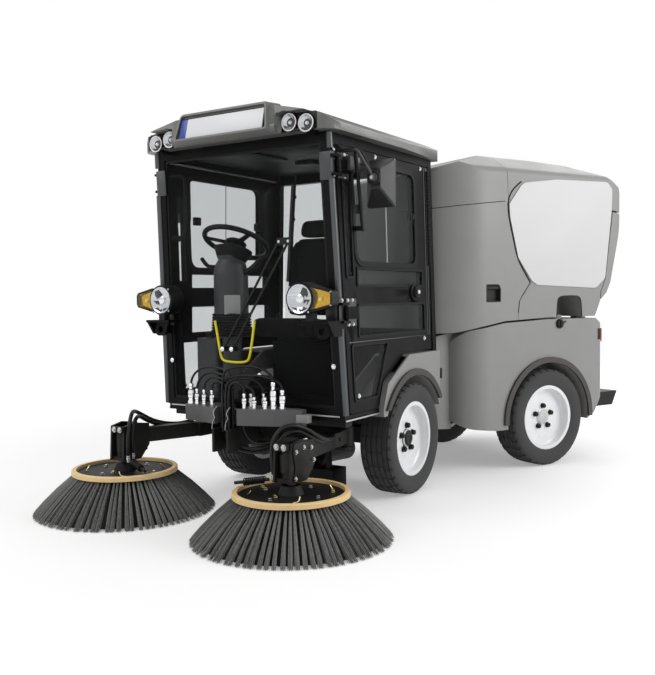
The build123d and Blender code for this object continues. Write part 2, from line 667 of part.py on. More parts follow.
# ---- what hangs on the cab's front -----------------------------------------------------
def make_front_fittings():
    (y0, z0), (y1, z1) = BROW_FACE
    length = hypot(y1 - y0, z1 - z0)
    plane = Plane(origin=(0, (y0 + y1) / 2, (z0 + z1) / 2), x_dir=(1, 0, 0),
                  z_dir=(0, -(z1 - z0), y1 - y0))
    holder = extrude(plane.offset(FIT) * Rectangle(PLATE_W + 24, length - 2), 8)
    plate = extrude(plane.offset(FIT + 6) * Rectangle(PLATE_W, PLATE_H), 6)
    save("number_plate", holder + plate)
    lamps = [sided(work_light(x, z, 0), side) for x, z in WORK_LIGHTS for side in ("left", "right")]
    save("work_lights", *lamps)
    head = headlamp()
    save("headlamps", head, mirror(head, Plane.YZ))
    save("wiper", wiper())


def headlamp():
    """A round lamp that tapers to its turn signal at the outer tip, on a short foot."""
    back = LAMP_FACE_Y + LAMP_DEPTH
    shell = rod((LENS_X, LAMP_FACE_Y, LENS_Z), (LENS_X, back, LENS_Z), LENS_R)
    shell += front_plate([(LENS_X, LENS_Z + LENS_R), (LAMP_TIP_X, LENS_Z + 32),
                          (LAMP_TIP_X, LENS_Z - 32), (LENS_X, LENS_Z - LENS_R)],
                         LAMP_FACE_Y + 8, back, [0, 24, 24, 0])
    foot = block(LENS_X + 10, LENS_X + 50, back - 60, back - 20, LAMP_PLATE_Z + FIT, LENS_Z - LENS_R + 12)
    return shell + foot


def wiper():
    """Two parallel arms on their posts, the link at their heads and the blade."""
    low, high = 830, 1370
    arms = block(240, 330, front_y(high) - 34, front_y(high) - 16, high - 20, high + 15)
    for x, tip_x in ((-136, 250), (-76, 310)):
        arms += rod((x, front_y(low) + 9, low), (x, front_y(low) - 34, low), 12)
        arms += bar((x, front_y(low) - 26, low), (tip_x, front_y(high) - 26, high), 10, 8)
    return arms + bar((295, front_y(1170) - 22, 1170), (350, front_y(1632) - 22, 1632), 14, 22)


def make_consoles():
    """Two coupling blocks beside the front linkage, with the plugs that stand on them."""
    inner = LINKAGE_X + LINKAGE_T + FIT
    left = plan_plate([(85, -921), (262, -860), (390, -800), (390, -760), (inner, -760), (inner, -830),
                       (85, -850)], CONSOLE_Z, CONSOLE_TOP)
    right = plan_plate([(-295, -868), (-inner, -926), (-inner, -760), (-295, -760)], CONSOLE_Z,
                       CONSOLE_TOP)
    save("coupling_consoles", left, right)
    couplings = []
    for x, y, height in COUPLINGS:
        plug = upright([(0, 0), (12, 0), (12, height * 0.5), (15, height * 0.5),
                        (15, height * 0.8), (10, height * 0.8), (10, height), (0, height)],
                       (x, y, CONSOLE_TOP + FIT))
        couplings.append(plug)
    save("hydraulic_couplings", *couplings)


def make_suction_mouth():
    """A hood open towards the ground, and the duct that leads up and back from it."""
    mouth = block(-330, 330, -390, -90, 30, 130)
    hollow = block(-318, 318, -378, -102, 20, 118)
    for start, end, radius in (((0, -150, 125), (0, -60, 190), 80),
                               ((0, -60, 190), (0, 240, 170), 70)):
        mouth += rod(start, end, radius)
        hollow += rod(start, end, radius - 8)
    mouth += both(block(RAIL_X - 20, RAIL_X + 20, -280, -240, 125, AXLE_Z + AXLE_BEAM / 2))
    hollow += rod((0, 230, 170.667), (0, 250, 169.333), 62)
    save("suction_mouth", mouth - hollow)


# ---- brooms ----------------------------------------------------------------------------
def broom_side(shape, side):
    """Swing a broom piece from its drawing position to rest, then put it on its side."""
    turn = Rot(0, 0, REST_SWING[side])
    return sided(Pos(SWING_X, SWING_Y, 0) * turn * Pos(-SWING_X, -SWING_Y, 0) * shape, side)


def make_broom(side):
    save(f"broom_carrier_{side}", broom_side(broom_carrier(), side))
    save(f"broom_arm_{side}", broom_side(broom_arm(), side))
    plate_z = BROOM_RING_TOP - BROOM_RING_H
    inner_r = BROOM_RING_R - BROOM_RING_W
    centre = (BROOM_X, BROOM_Y, 0)
    disc = upright([(0, plate_z), (inner_r, plate_z), (inner_r, plate_z + BROOM_PLATE_T),
                    (60, plate_z + BROOM_PLATE_T), (44, 246), (BROOM_SHAFT_R, 246),
                    (BROOM_SHAFT_R, 300), (0, 300)], centre)
    save(f"broom_plate_{side}", broom_side(disc, side))
    ring = upright([(inner_r + FIT, plate_z), (BROOM_RING_R, plate_z),
                    (BROOM_RING_R, BROOM_RING_TOP - 4), (BROOM_RING_R - 4, BROOM_RING_TOP),
                    (inner_r + FIT, BROOM_RING_TOP)], centre)
    save(f"broom_ring_{side}", broom_side(ring, side))
    top = plate_z - FIT
    skirt = upright([(BROOM_RING_R - BRISTLE_T, top), (BROOM_RING_R - 4, top),
                     (BROOM_FOOT_R, BROOM_FOOT_Z + 6), (BROOM_FOOT_R - 3, BROOM_FOOT_Z),
                     (BROOM_FOOT_R - BRISTLE_T, BROOM_FOOT_Z)], centre)
    save(f"bristles_{side}", broom_side(skirt, side))


def broom_carrier():
    """What swings about the upright pin: boss, pin, web and the lift pin's eye."""
    boss = rod((SWING_X, SWING_Y, LIFT_Z - 50), (SWING_X, SWING_Y, LIFT_Z + 50), 34)
    pin = rod((SWING_X, SWING_Y, BRACKET_LOW_Z - 4),
              (SWING_X, SWING_Y, BRACKET_HIGH_Z + BRACKET_T + 8), SWING_PIN_R)
    web = block(SWING_X - 18, SWING_X + 18, LIFT_Y, SWING_Y, LIFT_Z - 36, LIFT_Z + 36)
    eye = rod((SWING_X - 18, LIFT_Y, LIFT_Z), (SWING_X + 18, LIFT_Y, LIFT_Z), 36)
    hole = rod((SWING_X - 60, LIFT_Y, LIFT_Z), (SWING_X + 60, LIFT_Y, LIFT_Z), LIFT_PIN_R + FIT)
    return boss + pin + web + eye - hole


def broom_arm():
    """What lifts: the fork, the beam, two head plates and the motor."""
    beam_start = (SWING_X + 10, LIFT_Y - 60, LIFT_Z)
    beam_end = (BROOM_X - 20, BROOM_Y + 110, LIFT_Z + 6)
    arm = both_cheeks() + bar(beam_start, beam_end, ARM_W, ARM_H)
    head = side_plate([(BROOM_Y - 60, 262), (BROOM_Y + 60, 262), (BROOM_Y + 120, 330),
                       (BROOM_Y + 120, 440), (BROOM_Y + 20, 455), (BROOM_Y - 50, 440)],
                      BROOM_X + 34, BROOM_X + 46)
    arm += head + Pos(-92, 0, 0) * head
    arm += block(BROOM_X - 50, BROOM_X + 40, BROOM_Y + 60, BROOM_Y + 112, 300, 430)
    arm += block(BROOM_X - 50, BROOM_X + 40, BROOM_Y - 50, BROOM_Y + 70, 262, 280)
    arm += rod((BROOM_X, BROOM_Y, 275), (BROOM_X, BROOM_Y, 400), 42)
    bore = rod((BROOM_X, BROOM_Y, 255), (BROOM_X, BROOM_Y, 305), BROOM_SHAFT_R + FIT)
    return arm - bore


def both_cheeks():
    """The arm's fork at the lift pin: two cheeks joined ahead of the carrier."""
    fork = None
    for x0, x1 in ((SWING_X - 36, SWING_X - 18 - FIT), (SWING_X + 18 + FIT, SWING_X + 36)):
        cheek = side_plate([(LIFT_Y - 90, LIFT_Z - 36), (LIFT_Y + 20, LIFT_Z - 36),
                            (LIFT_Y + 36, LIFT_Z), (LIFT_Y + 20, LIFT_Z + 36),
                            (LIFT_Y - 90, LIFT_Z + 36)], x0, x1)
        fork = cheek if fork is None else fork + cheek
    fork += block(SWING_X - 36, SWING_X + 36, LIFT_Y - 100, LIFT_Y - 50, LIFT_Z - 36, LIFT_Z + 36)
    fork += rod((SWING_X - 40, LIFT_Y, LIFT_Z), (SWING_X + 40, LIFT_Y, LIFT_Z), LIFT_PIN_R)
    return fork


# ---- rear unit -------------------------------------------------------------------------
def crown(y0, drop):
    """The lower body's top edge from its tail to y0, lowered by a drop."""
    points = [(1455, BODY_TOP), (1000, BODY_TOP), (650, BODY_TOP - 14), (450, BODY_TOP - 46),
              (312, BODY_TOP - 74), (BODY_FRONT_Y, BODY_TOP - 100)]
    kept = [(y, z - drop) for y, z in points if y > y0 + 60]
    y1, z1 = kept[-1]
    slope = (BODY_TOP - 74 - (BODY_TOP - 100)) / (312 - BODY_FRONT_Y)
    return kept + [(y0, z1 - slope * (y1 - y0))]


def lower_shape(inset, foot):
    """A narrow core with a wider pod over the rear wheels, drawn in by an inset."""
    y1 = BODY_REAR_Y - inset
    tail = [(582, BODY_BOTTOM), (1357, BODY_BOTTOM), (1443, 310), (y1, 440), (y1, 880 - inset)]
    shape = None
    for half, front, plan_r, shoulder_r, foot_r in (
            (CORE_X, BODY_FRONT_Y, CORE_CORNER_R, 0, 0),
            (BODY_X, POD_FRONT_Y, POD_CORNER_R, POD_SHOULDER_R, 110)):
        x = half - inset
        y0 = front + inset
        plan = plan_plate([(-x, y0), (x, y0), (x, y1), (-x, y1)], foot, BODY_TOP + 20,
                          [plan_r - inset, plan_r - inset, 40, 40])
        top = crown(y0, inset)
        base = [(y0, BODY_BOTTOM + 30), *tail] if foot > 150 else [(y0, foot), (y1, foot),
                                                                    (y1, 880 - inset)]
        radii = [foot_r if foot > 150 else 0] + [0] * (len(base) + len(top) - 2) + [shoulder_r]
        piece = plan & side_plate(base + top, -BODY_X, BODY_X, radii)
        shape = piece if shape is None else shape + piece
    return shape


def make_lower_body():
    outer = lower_shape(0, 200)
    body = outer - lower_shape(BODY_WALL, 100)
    for sign in (1, -1):
        inner_x = sign * FENDER_INNER_X
        out_x = sign * BODY_X
        liner = rod((inner_x - sign * SKIN, REAR_AXLE_Y, AXLE_Z), (out_x, REAR_AXLE_Y, AXLE_Z),
                    ARCH_R + SKIN) & outer
        body += liner
        body -= rod((inner_x, REAR_AXLE_Y, AXLE_Z), (sign * 800, REAR_AXLE_Y, AXLE_Z), ARCH_R)
        body -= block(inner_x - sign * 30, inner_x + sign * 1, REAR_AXLE_Y - 150,
                      REAR_AXLE_Y + 150, 0, AXLE_Z + HUB_DRUM_R + 15)
    body += both(rod((0, 1190, 0), (0, 1190, 30), 36).moved(Location((500, 0, BODY_TOP - 6))))
    for x in (TIP_X - 40, TIP_X + 26):
        ear = side_plate([(TIP_Y - 30, 900), (TIP_Y + 30, 900), (TIP_Y + 24, TIP_Z + 20),
                          (TIP_Y - 24, TIP_Z + 20)], x, x + 14, [0, 0, 20, 20])
        body += both(ear)
    body -= both(rod((TIP_X - 60, TIP_Y, TIP_Z), (TIP_X + 60, TIP_Y, TIP_Z), TIP_PIN_R + FIT))
    body -= block(-60, 60, 100, 168, 100, LUG_UPPER_Z + 20)
    save("lower_body", rear(max(body.solids(), key=lambda solid: solid.volume)))
    engine = block(-230, 230, 380, 830, 440, 836)
    save("engine_block", rear(engine))
    trim = rod((BODY_X + FIT, REAR_AXLE_Y, AXLE_Z),
               (BODY_X + FIT + ARCH_TRIM_PROUD, REAR_AXLE_Y, AXLE_Z), ARCH_R + ARCH_TRIM)
    trim -= rod((BODY_X - 1, REAR_AXLE_Y, AXLE_Z), (BODY_X + 100, REAR_AXLE_Y, AXLE_Z), ARCH_R)
    trim -= block(0, 900, 0, 2000, -200, BODY_BOTTOM + 30)
    save("rear_arch_trims", rear(trim), rear(mirror(trim, Plane.YZ)))


def make_rear_chassis():
    axle_top = AXLE_Z + AXLE_BEAM / 2
    frame = both(block(RAIL_X - RAIL_W / 2, RAIL_X + RAIL_W / 2, 170, BODY_REAR_Y + 20, axle_top,
                       axle_top + REAR_RAIL_H))
    frame += block(-RAIL_X, RAIL_X, 170, 230, 300, axle_top + REAR_RAIL_H)
    frame += block(-RAIL_X, RAIL_X, 1440, 1500, axle_top, axle_top + REAR_RAIL_H)
    # yoke between the front frame's lugs
    z0 = LUG_LOWER_Z + LUG_T / 2 + GAP / 3
    z1 = LUG_UPPER_Z - LUG_T / 2 - GAP / 3
    frame += rod((0, 0, z0), (0, 0, z1), 52)
    frame += block(-45, 45, 20, 180, z0 + 8, z1 - 8)
    frame += rod((0, 0, LUG_LOWER_Z - LUG_T / 2 - 8), (0, 0, LUG_UPPER_Z + LUG_T / 2 + 8), PIN_R)
    # stays from the rails to the body's floor, engine feet, bumper and tow bracket
    for y, length in ((520, 20), (1440, 40)):
        frame += both(block(RAIL_X, BODY_X - BODY_WALL - 1, y, y + length, axle_top + 10,
                            axle_top + 50))
    frame += both(block(RAIL_X - 30, RAIL_X + 30, 560, 620, axle_top + REAR_RAIL_H - 5, 440 - FIT))
    bumper_top = 430
    frame += front_plate([(-520, 330), (520, 330), (560, bumper_top), (-560, bumper_top)],
                         BODY_REAR_Y + 20, 1715)
    frame -= front_plate([(-500, 345), (500, 345), (540, 415), (-540, 415)], BODY_REAR_Y + 60,
                         1700)
    frame += both(rod((400, 1690, bumper_top - 4), (400, 1690, 520), 10))
    frame += block(-60, 60, 1440, TOW_Y - 30, TOW_Z + 9, 340)
    frame += block(-45, 45, 1560, 1712, TOW_Z - 9, TOW_Z + 9)
    frame -= rod((0, TOW_Y, TOW_Z - 20), (0, TOW_Y, TOW_Z + 20), TOW_BORE_R)
    save("rear_chassis", rear(max(frame.solids(), key=lambda solid: solid.volume)))


def upper_body(inset):
    """The whole upper body: side, plan and cross outlines met, drawn in by the inset."""
    low = HOPPER_GAP
    side = side_plate(
        [(HOPPER_FRONT_Y + inset, BODY_TOP - 88 + low + inset),
         (312, BODY_TOP - 74 + low + inset), (450, BODY_TOP - 46 + low + inset),
         (650, BODY_TOP - 14 + low + inset), (1000, BODY_TOP + low + inset),
         (1447 - inset, BODY_TOP + low + inset), (1470 - inset, 985), (1500 - inset, 1050),
         (1560 - inset, 1098), (1598 - inset, 1168), (1700 - inset, 1575),
         (HOPPER_REAR_Y - inset, 1690), (1680 - inset, 1790 - inset), (1575, 1862 - inset),
         (1280, 1925 - inset), (900, HOPPER_TOP - inset), (560, HOPPER_TOP - 2 - inset),
         (HOPPER_FRONT_Y + inset, 1815 - inset)],
        -BODY_X, BODY_X,
        [0, 0, 0, 0, 0, 0, 0, 0, 40, 60, 120, 60, 40, 60, 150, 100, 60, 0])
    x = BODY_X - inset
    plan = plan_plate([(-x, HOPPER_FRONT_Y + inset), (x, HOPPER_FRONT_Y + inset),
                       (x, HOPPER_REAR_Y - inset), (-x, HOPPER_REAR_Y - inset)],
                      800, 2000,
                      [BODY_CORNER_R - inset, BODY_CORNER_R - inset, 60, 60])
    cross = front_plate([(-x, 800), (x, 800), (x, 1850), (x - 150, HOPPER_TOP + 2 - inset),
                         (-x + 150, HOPPER_TOP + 2 - inset), (-x, 1850)], 0, 1800,
                        [0, 0, 60, 120, 120, 60])
    return side & plan & cross


def seam_zone(shift, far_y):
    """Everything between the seam line, moved back by a shift, and far_y."""
    line = [(y + shift, z) for y, z in HOPPER_SEAM]
    return side_plate(line + [(far_y, line[-1][1]), (far_y, line[0][1])], -REACH, REACH)


def make_upper_body():
    outer = upper_body(0)
    cavity = upper_body(HOPPER_WALL)
    behind = seam_zone(SEAM, REACH)
    shell_front = outer & seam_zone(0, -REACH)
    shell_front -= cavity & seam_zone(-HOPPER_WALL, -REACH)
    recess = both(block(BODY_X - 30, BODY_X + 10, 505, 612, 1052, 1150))
    shell_front -= recess
    pocket = both(block(BODY_X - 40, BODY_X - 30, 495, 622, 1042, 1160))
    shell_front += pocket & outer
    stops = both(block(280, 330, 500, 900, 1400, 1450))
    shell_front += stops & seam_zone(SEAM - FIT, -REACH) & seam_zone(-1, REACH)
    save("hopper_front", rear(max(shell_front.solids(), key=lambda solid: solid.volume)))
    tank = outer & behind
    tank -= cavity & seam_zone(SEAM + HOPPER_WALL, REACH)
    tank -= gate_zone(0)
    notch = both(side_plate([(1090, 900), (1330, 900), (1318, 1078), (1100, 1078)],
                            BODY_X - 190, BODY_X + 10, [0, 0, 40, 40]))
    pocket = both(side_plate([(1078, 900), (1342, 900), (1330, 1090), (1088, 1090)],
                             BODY_X - 202, BODY_X, [0, 0, 46, 46])) & outer
    tank = tank + pocket - notch
    # tipping pins in their bosses
    tank += both(block(TIP_X - 24, TIP_X + 24, TIP_Y - 30, TIP_Y + 20, TIP_Z - 4, 990) & outer)
    pin = rod((TIP_X - 42, TIP_Y, TIP_Z), (TIP_X + 42, TIP_Y, TIP_Z), TIP_PIN_R)
    boss = rod((TIP_X - 24, TIP_Y, TIP_Z), (TIP_X + 24, TIP_Y, TIP_Z), 24)
    ears_room = both(block(TIP_X - 50, TIP_X - 22, TIP_Y - 60, TIP_Y + 60, 900, TIP_Z + 40)
                     + block(TIP_X + 22, TIP_X + 50, TIP_Y - 60, TIP_Y + 60, 900, TIP_Z + 40))
    tank = tank - ears_room + both(boss + pin)
    tank -= gate_hinge(-30, 30, GATE_KNUCKLE_R + GAP)
    tank += gate_hinge(30 + FIT, 60, GATE_KNUCKLE_R) + gate_hinge(-28, 40, GATE_PIN_R)
    save("hopper", rear(max(tank.solids(), key=lambda solid: solid.volume)))
    gate = outer & gate_zone(SEAM * 2)
    gate -= cavity & side_plate([(0, 900), (REACH, 900), (REACH, 1700), (0, 1700)], -REACH, REACH)
    gate -= gate_hinge(30 - GAP, 60 + GAP, GATE_KNUCKLE_R + GAP)
    gate += gate_hinge(-30 + GAP, 30 - GAP, GATE_KNUCKLE_R)
    gate -= gate_hinge(-40, 40, GATE_PIN_R + FIT)
    save("tailgate", rear(max(gate.solids(), key=lambda solid: solid.volume)))
    outline = [(683, 1640), (690, 1560), (757, 1316), (871, 1176), (918, 1150), (1450, 1128),
               (1540, 1193), (1600, 1650), (1606, 1780), (1556, 1824), (1087, 1812),
               (795, 1775)]
    panel = side_plate(outline, BODY_X + FIT, BODY_X + FIT + 6,
                       [20, 60, 60, 30, 30, 60, 60, 60, 40, 50, 200, 90])
    save("hopper_panels", rear(panel), rear(mirror(panel, Plane.YZ)))


def gate_hinge(start, end, radius):
    """A round length of the tailgate's hinge on both sides, from its middle."""
    one = (GATE_HINGE_X + start, GATE_HINGE_Y, GATE_HINGE_Z)
    two = (GATE_HINGE_X + end, GATE_HINGE_Y, GATE_HINGE_Z)
    return both(rod(one, two, radius))


def gate_zone(inset):
    """The region of the upper body's tail that swings as the tailgate."""
    top = GATE_HINGE_Z + SEAM * 2 - inset * 2
    return side_plate([(1612 + inset, top + 10), (1545 + inset, 1190), (1500 + inset, 1100),
                       (1500 + inset, 1010), (REACH, 1010), (REACH, top), (1700, top)],
                      -REACH, REACH)


def make_tail_lamps():
    lamp = block(470, 560, BODY_REAR_Y + FIT, BODY_REAR_Y + 36, 770, 860)
    save("tail_lamps", rear(lamp), rear(mirror(lamp, Plane.YZ)))


def main():
    os.makedirs("parts", exist_ok=True)
    make_wheels()
    make_front_chassis()
    make_broom_brackets()
    make_cab_floor()
    make_fenders()
    make_cab_frame()
    make_roof()
    make_cab_glass()
    make_seat()
    make_steering()
    make_front_fittings()
    make_consoles()
    make_suction_mouth()
    for side in ("left", "right"):
        make_door(side)
        make_broom(side)
    make_lower_body()
    make_rear_chassis()
    make_upper_body()
    make_tail_lamps()


main()
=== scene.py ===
"""Dresses the compact road sweeper: finishes on its solids, and the pieces for the eye."""

import logging
import math
from dataclasses import dataclass
from enum import Enum
from typing import Callable, Iterable, Sequence

import bpy
from mathutils import Matrix, Vector

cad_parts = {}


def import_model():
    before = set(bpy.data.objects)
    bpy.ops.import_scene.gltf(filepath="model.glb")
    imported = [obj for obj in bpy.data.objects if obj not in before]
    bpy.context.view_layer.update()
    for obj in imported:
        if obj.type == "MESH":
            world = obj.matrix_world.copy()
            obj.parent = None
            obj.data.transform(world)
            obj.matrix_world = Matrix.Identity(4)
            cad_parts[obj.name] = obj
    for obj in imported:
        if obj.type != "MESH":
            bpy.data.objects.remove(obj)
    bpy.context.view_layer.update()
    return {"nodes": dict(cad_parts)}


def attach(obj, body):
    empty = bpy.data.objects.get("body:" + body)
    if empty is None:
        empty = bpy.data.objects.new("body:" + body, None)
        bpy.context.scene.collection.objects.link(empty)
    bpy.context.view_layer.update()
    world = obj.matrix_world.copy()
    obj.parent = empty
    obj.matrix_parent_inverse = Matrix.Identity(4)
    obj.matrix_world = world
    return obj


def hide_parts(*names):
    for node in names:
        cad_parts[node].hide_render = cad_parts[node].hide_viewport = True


MM = 0.001
LOG = logging.getLogger("sweeper")
Piece = bpy.types.Object
Material = bpy.types.Material
NodeTree = bpy.types.NodeTree
Socket = bpy.types.NodeSocket
Point = tuple[float, float, float]
Outline = Sequence[tuple[float, float]]


# ---- stations ----
@dataclass(frozen=True)
class Station:
    """A unit's drawing frame in millimetres, turned about the upright through its datum.

    Args:
        x: Datum's place to the left, in the machine's frame.
        y: Datum's place to the rear.
        turn: Turn about the upright in degrees.
    """

    x: float
    y: float
    turn: float = 0.0

    def matrix(self) -> Matrix:
        """The move from this frame, in metres, to the machine's."""
        return Matrix.Translation((self.x * MM, self.y * MM, 0)) @ Matrix.Rotation(
            math.radians(self.turn), 4, "Z")

    def at(self, x: float, y: float, z: float) -> Vector:
        """A point of this frame in the machine's frame, in metres."""
        return self.matrix() @ Vector((x * MM, y * MM, z * MM))


FRONT = Station(-117.0, -357.0)
REAR = Station(-117.0, 91.0, -25.8)


class Side(Enum):
    """Which side of the machine a piece stands on, as seen from its seat."""

    LEFT = "left"
    RIGHT = "right"

    @property
    def broom_swing(self) -> float:
        """How far outwards the broom's arm rests, in degrees."""
        return -2.8 if self is Side.LEFT else 3.1


# ---- finishes ----
def linear(colour: str) -> tuple[float, float, float, float]:
    """Turns an sRGB hex colour to linear light.

    Args:
        colour: Six hex digits with a leading hash.

    Returns:
        Red, green, blue and a full alpha.
    """
    parts = [int(colour[i:i + 2], 16) / 255 for i in (1, 3, 5)]
    shades = [c / 12.92 if c <= 0.04045 else ((c + 0.055) / 1.055) ** 2.4 for c in parts]
    return (*shades, 1.0)


def add_node(tree: NodeTree, kind: str, inputs: dict | None = None,
        **settings: object) -> bpy.types.Node:
    """Adds a node with its settings and links.

    Args:
        tree: The material's node tree.
        kind: The node's type name.
        inputs: Socket name or number to a value or to another node's output.
        **settings: The node's own properties.

    Returns:
        The new node.
    """
    node = tree.nodes.new(kind)
    for key, value in settings.items():
        setattr(node, key, value)
    for key, value in (inputs or {}).items():
        if isinstance(value, Socket):
            tree.links.new(value, node.inputs[key])
        else:
            node.inputs[key].default_value = value
    return node


@dataclass(frozen=True)
class Finish:
    """One real material as moulded, painted, cast or plated.

    Args:
        name: The material's own name.
        colour: Its colour in sRGB hex.
        roughness: Middle roughness.
        metallic: 1 for bare metal.
        ior: Index of refraction of what isn't metal.
        coat: Strength of a clear coat.
        grain_mm: Size of the surface's grain or orange peel.
        grain_depth: How strongly that grain bumps, 0 to 1.
        tone: How much the colour drifts in broad patches, 0 to 1.
        patch_mm: Size of those patches.
        dust: How much road dust greys it near the ground, 0 to 1.
    """

    name: str
    colour: str
    roughness: float = 0.5
    metallic: float = 0.0
    ior: float = 1.5
    coat: float = 0.0
    grain_mm: float = 1.2
    grain_depth: float = 0.1
    tone: float = 0.06
    patch_mm: float = 180.0
    dust: float = 0.0

    def material(self) -> Material:
        """Builds the material, or finds the one already built.

        Returns:
            The material.
        """
        made = bpy.data.materials.get(self.name)
        if made:
            return made
        made = bpy.data.materials.new(self.name)
        made.use_nodes = True
        tree = made.node_tree
        shader = tree.nodes["Principled BSDF"]
        place = add_node(tree, "ShaderNodeTexCoord").outputs["Object"]
        self.base(tree, shader, place)
        self.relief(tree, shader, place)
        shader.inputs["Metallic"].default_value = self.metallic
        if not self.metallic:
            shader.inputs["IOR"].default_value = self.ior
        shader.inputs["Coat Weight"].default_value = self.coat
        shader.inputs["Coat Roughness"].default_value = 0.08
        return made

    def base(self, tree: NodeTree, shader: bpy.types.Node, place: Socket) -> None:
        """Colour that drifts in broad patches, with dust towards the ground.

        Args:
            tree: The material's node tree.
            shader: Its main shader.
            place: The coordinates that its patterns follow.
        """
        patches = add_node(tree, "ShaderNodeTexNoise", {"Vector": place,
            "Scale": 1 / (self.patch_mm * MM), "Detail": 3.0})
        low, high = 1 - self.tone, 1 + self.tone
        shades = add_node(tree, "ShaderNodeMapRange", {"Value": patches.outputs["Fac"],
            "From Min": 0.3, "From Max": 0.7, "To Min": low, "To Max": high})
        colour = add_node(tree, "ShaderNodeMix", {0: 1.0, 6: linear(self.colour),
            7: shades.outputs["Result"]}, data_type="RGBA", blend_type="MULTIPLY").outputs[2]
        if self.dust:
            height = add_node(tree, "ShaderNodeSeparateXYZ", {"Vector": place}).outputs["Z"]
            fade = add_node(tree, "ShaderNodeMapRange", {"Value": height, "From Min": 0.0,
                "From Max": 0.7, "To Min": self.dust, "To Max": 0.0})
            flecks = add_node(tree, "ShaderNodeTexNoise", {"Vector": place,
                "Scale": 1 / (35 * MM), "Detail": 6.0})
            share = add_node(tree, "ShaderNodeMath", {0: fade.outputs["Result"],
                1: flecks.outputs["Fac"]}, operation="MULTIPLY")
            colour = add_node(tree, "ShaderNodeMix", {0: share.outputs[0], 6: colour,
                7: linear("#8c8880")}, data_type="RGBA").outputs[2]
        tree.links.new(colour, shader.inputs["Base Color"])
        rough = add_node(tree, "ShaderNodeMapRange", {"Value": patches.outputs["Fac"],
            "From Min": 0.3, "From Max": 0.7, "To Min": max(0.03, self.roughness - 0.05),
            "To Max": min(1.0, self.roughness + 0.05)})
        tree.links.new(rough.outputs["Result"], shader.inputs["Roughness"])

    def relief(self, tree: NodeTree, shader: bpy.types.Node, place: Socket) -> None:
        """The grain of the mould, cast or spray, as a bump.

        Args:
            tree: The material's node tree.
            shader: Its main shader.
            place: The coordinates that its patterns follow.
        """
        grain = add_node(tree, "ShaderNodeTexNoise", {"Vector": place,
            "Scale": 1 / (self.grain_mm * MM), "Detail": 2.0})
        bump = add_node(tree, "ShaderNodeBump", {"Height": grain.outputs["Fac"],
            "Strength": self.grain_depth, "Distance": self.grain_mm * MM * 0.3})
        tree.links.new(bump.outputs["Normal"], shader.inputs["Normal"])


@dataclass(frozen=True)
class Glass(Finish):
    """Thin glazing or a lens: mostly seen through, with a sharp sheen.

    Args:
        clear: How much of what is behind comes through, 0 to 1.
    """

    clear: float = 0.7

    def material(self) -> Material:
        """A shader that mixes a tinted see-through layer with a glossy skin.

        Returns:
            The material.
        """
        made = bpy.data.materials.get(self.name)
        if made:
            return made
        made = bpy.data.materials.new(self.name)
        made.use_nodes = True
        tree = made.node_tree
        shader = tree.nodes["Principled BSDF"]
        out = tree.nodes["Material Output"]
        place = add_node(tree, "ShaderNodeTexCoord").outputs["Object"]
        haze = add_node(tree, "ShaderNodeTexNoise", {"Vector": place,
            "Scale": 1 / (self.patch_mm * MM), "Detail": 4.0})
        rough = add_node(tree, "ShaderNodeMapRange", {"Value": haze.outputs["Fac"],
            "To Min": self.roughness, "To Max": self.roughness + 0.03})
        tree.links.new(rough.outputs["Result"], shader.inputs["Roughness"])
        shader.inputs["Base Color"].default_value = linear(self.colour)
        shader.inputs["IOR"].default_value = self.ior
        shader.inputs["Coat Weight"].default_value = self.coat
        tint = add_node(tree, "ShaderNodeBsdfTransparent", {"Color": linear(self.colour)})
        fresnel = add_node(tree, "ShaderNodeFresnel", {"IOR": self.ior})
        share = add_node(tree, "ShaderNodeMapRange", {"Value": fresnel.outputs["Fac"],
            "From Min": 0.0, "From Max": 1.0, "To Min": 1 - self.clear, "To Max": 1.0})
        inner = add_node(tree, "ShaderNodeNewGeometry").outputs["Backfacing"]
        outer = add_node(tree, "ShaderNodeMapRange", {"Value": inner, "To Min": 1.0,
            "To Max": 0.0})
        sheen = add_node(tree, "ShaderNodeMath", {0: share.outputs["Result"],
            1: outer.outputs["Result"]}, operation="MULTIPLY")
        mix = add_node(tree, "ShaderNodeMixShader", {0: sheen.outputs[0], 1: tint.outputs["BSDF"],
            2: shader.outputs["BSDF"]})
        tree.links.new(mix.outputs["Shader"], out.inputs["Surface"])
        return made


# Moulded body panels of through-coloured polymer: a fine satin grain, no gloss coat.
PANEL_GREY = Finish("moulded_body_panel_grey", "#8e8e8d", 0.42, grain_mm=1.6, grain_depth=0.12,
    tone=0.03)
LOWER_GREY = Finish("moulded_lower_body_grey", "#8e8e8d", 0.42, grain_mm=1.6, grain_depth=0.12,
    tone=0.03, dust=0.15)
# The cab's roof, moulded in the same polymer as the body panels; its darker grey is painted shade.
ROOF_GREY_PAINTED_SHADE = Finish("moulded_roof_grey_painted_shade", "#6c6c6a", 0.42, grain_mm=1.6, grain_depth=0.12,
    tone=0.03)
# White gel-coated side panel, smooth and slightly glossy.
PANEL_WHITE = Finish("gel_coat_white", "#d3d3d3", 0.4, coat=0.1, grain_mm=2.5, grain_depth=0.04,
    tone=0.004)
# Arch lips of unpainted polypropylene, nearly black and grained.
ARCH_PLASTIC = Finish("grained_polypropylene", "#3b3834", 0.55, grain_mm=1.4, grain_depth=0.3)
# Powder-coated steel of the cab frame, doors and chassis.
BLACK_POWDER = Finish("powder_coat_black", "#0b0b0c", 0.38, ior=1.2, grain_mm=1.0,
    grain_depth=0.12)
# Brushed-on chassis paint, a little dusty low down.
CHASSIS_BLACK = Finish("chassis_paint_black", "#0e0e0e", 0.48, ior=1.3, grain_mm=1.8,
    grain_depth=0.2, dust=0.12)
# Black ABS: mirrors, lamp bezels, wiper and trim.
BLACK_ABS = Finish("moulded_abs_black", "#111112", 0.45, ior=1.32, grain_mm=1.0, grain_depth=0.2)
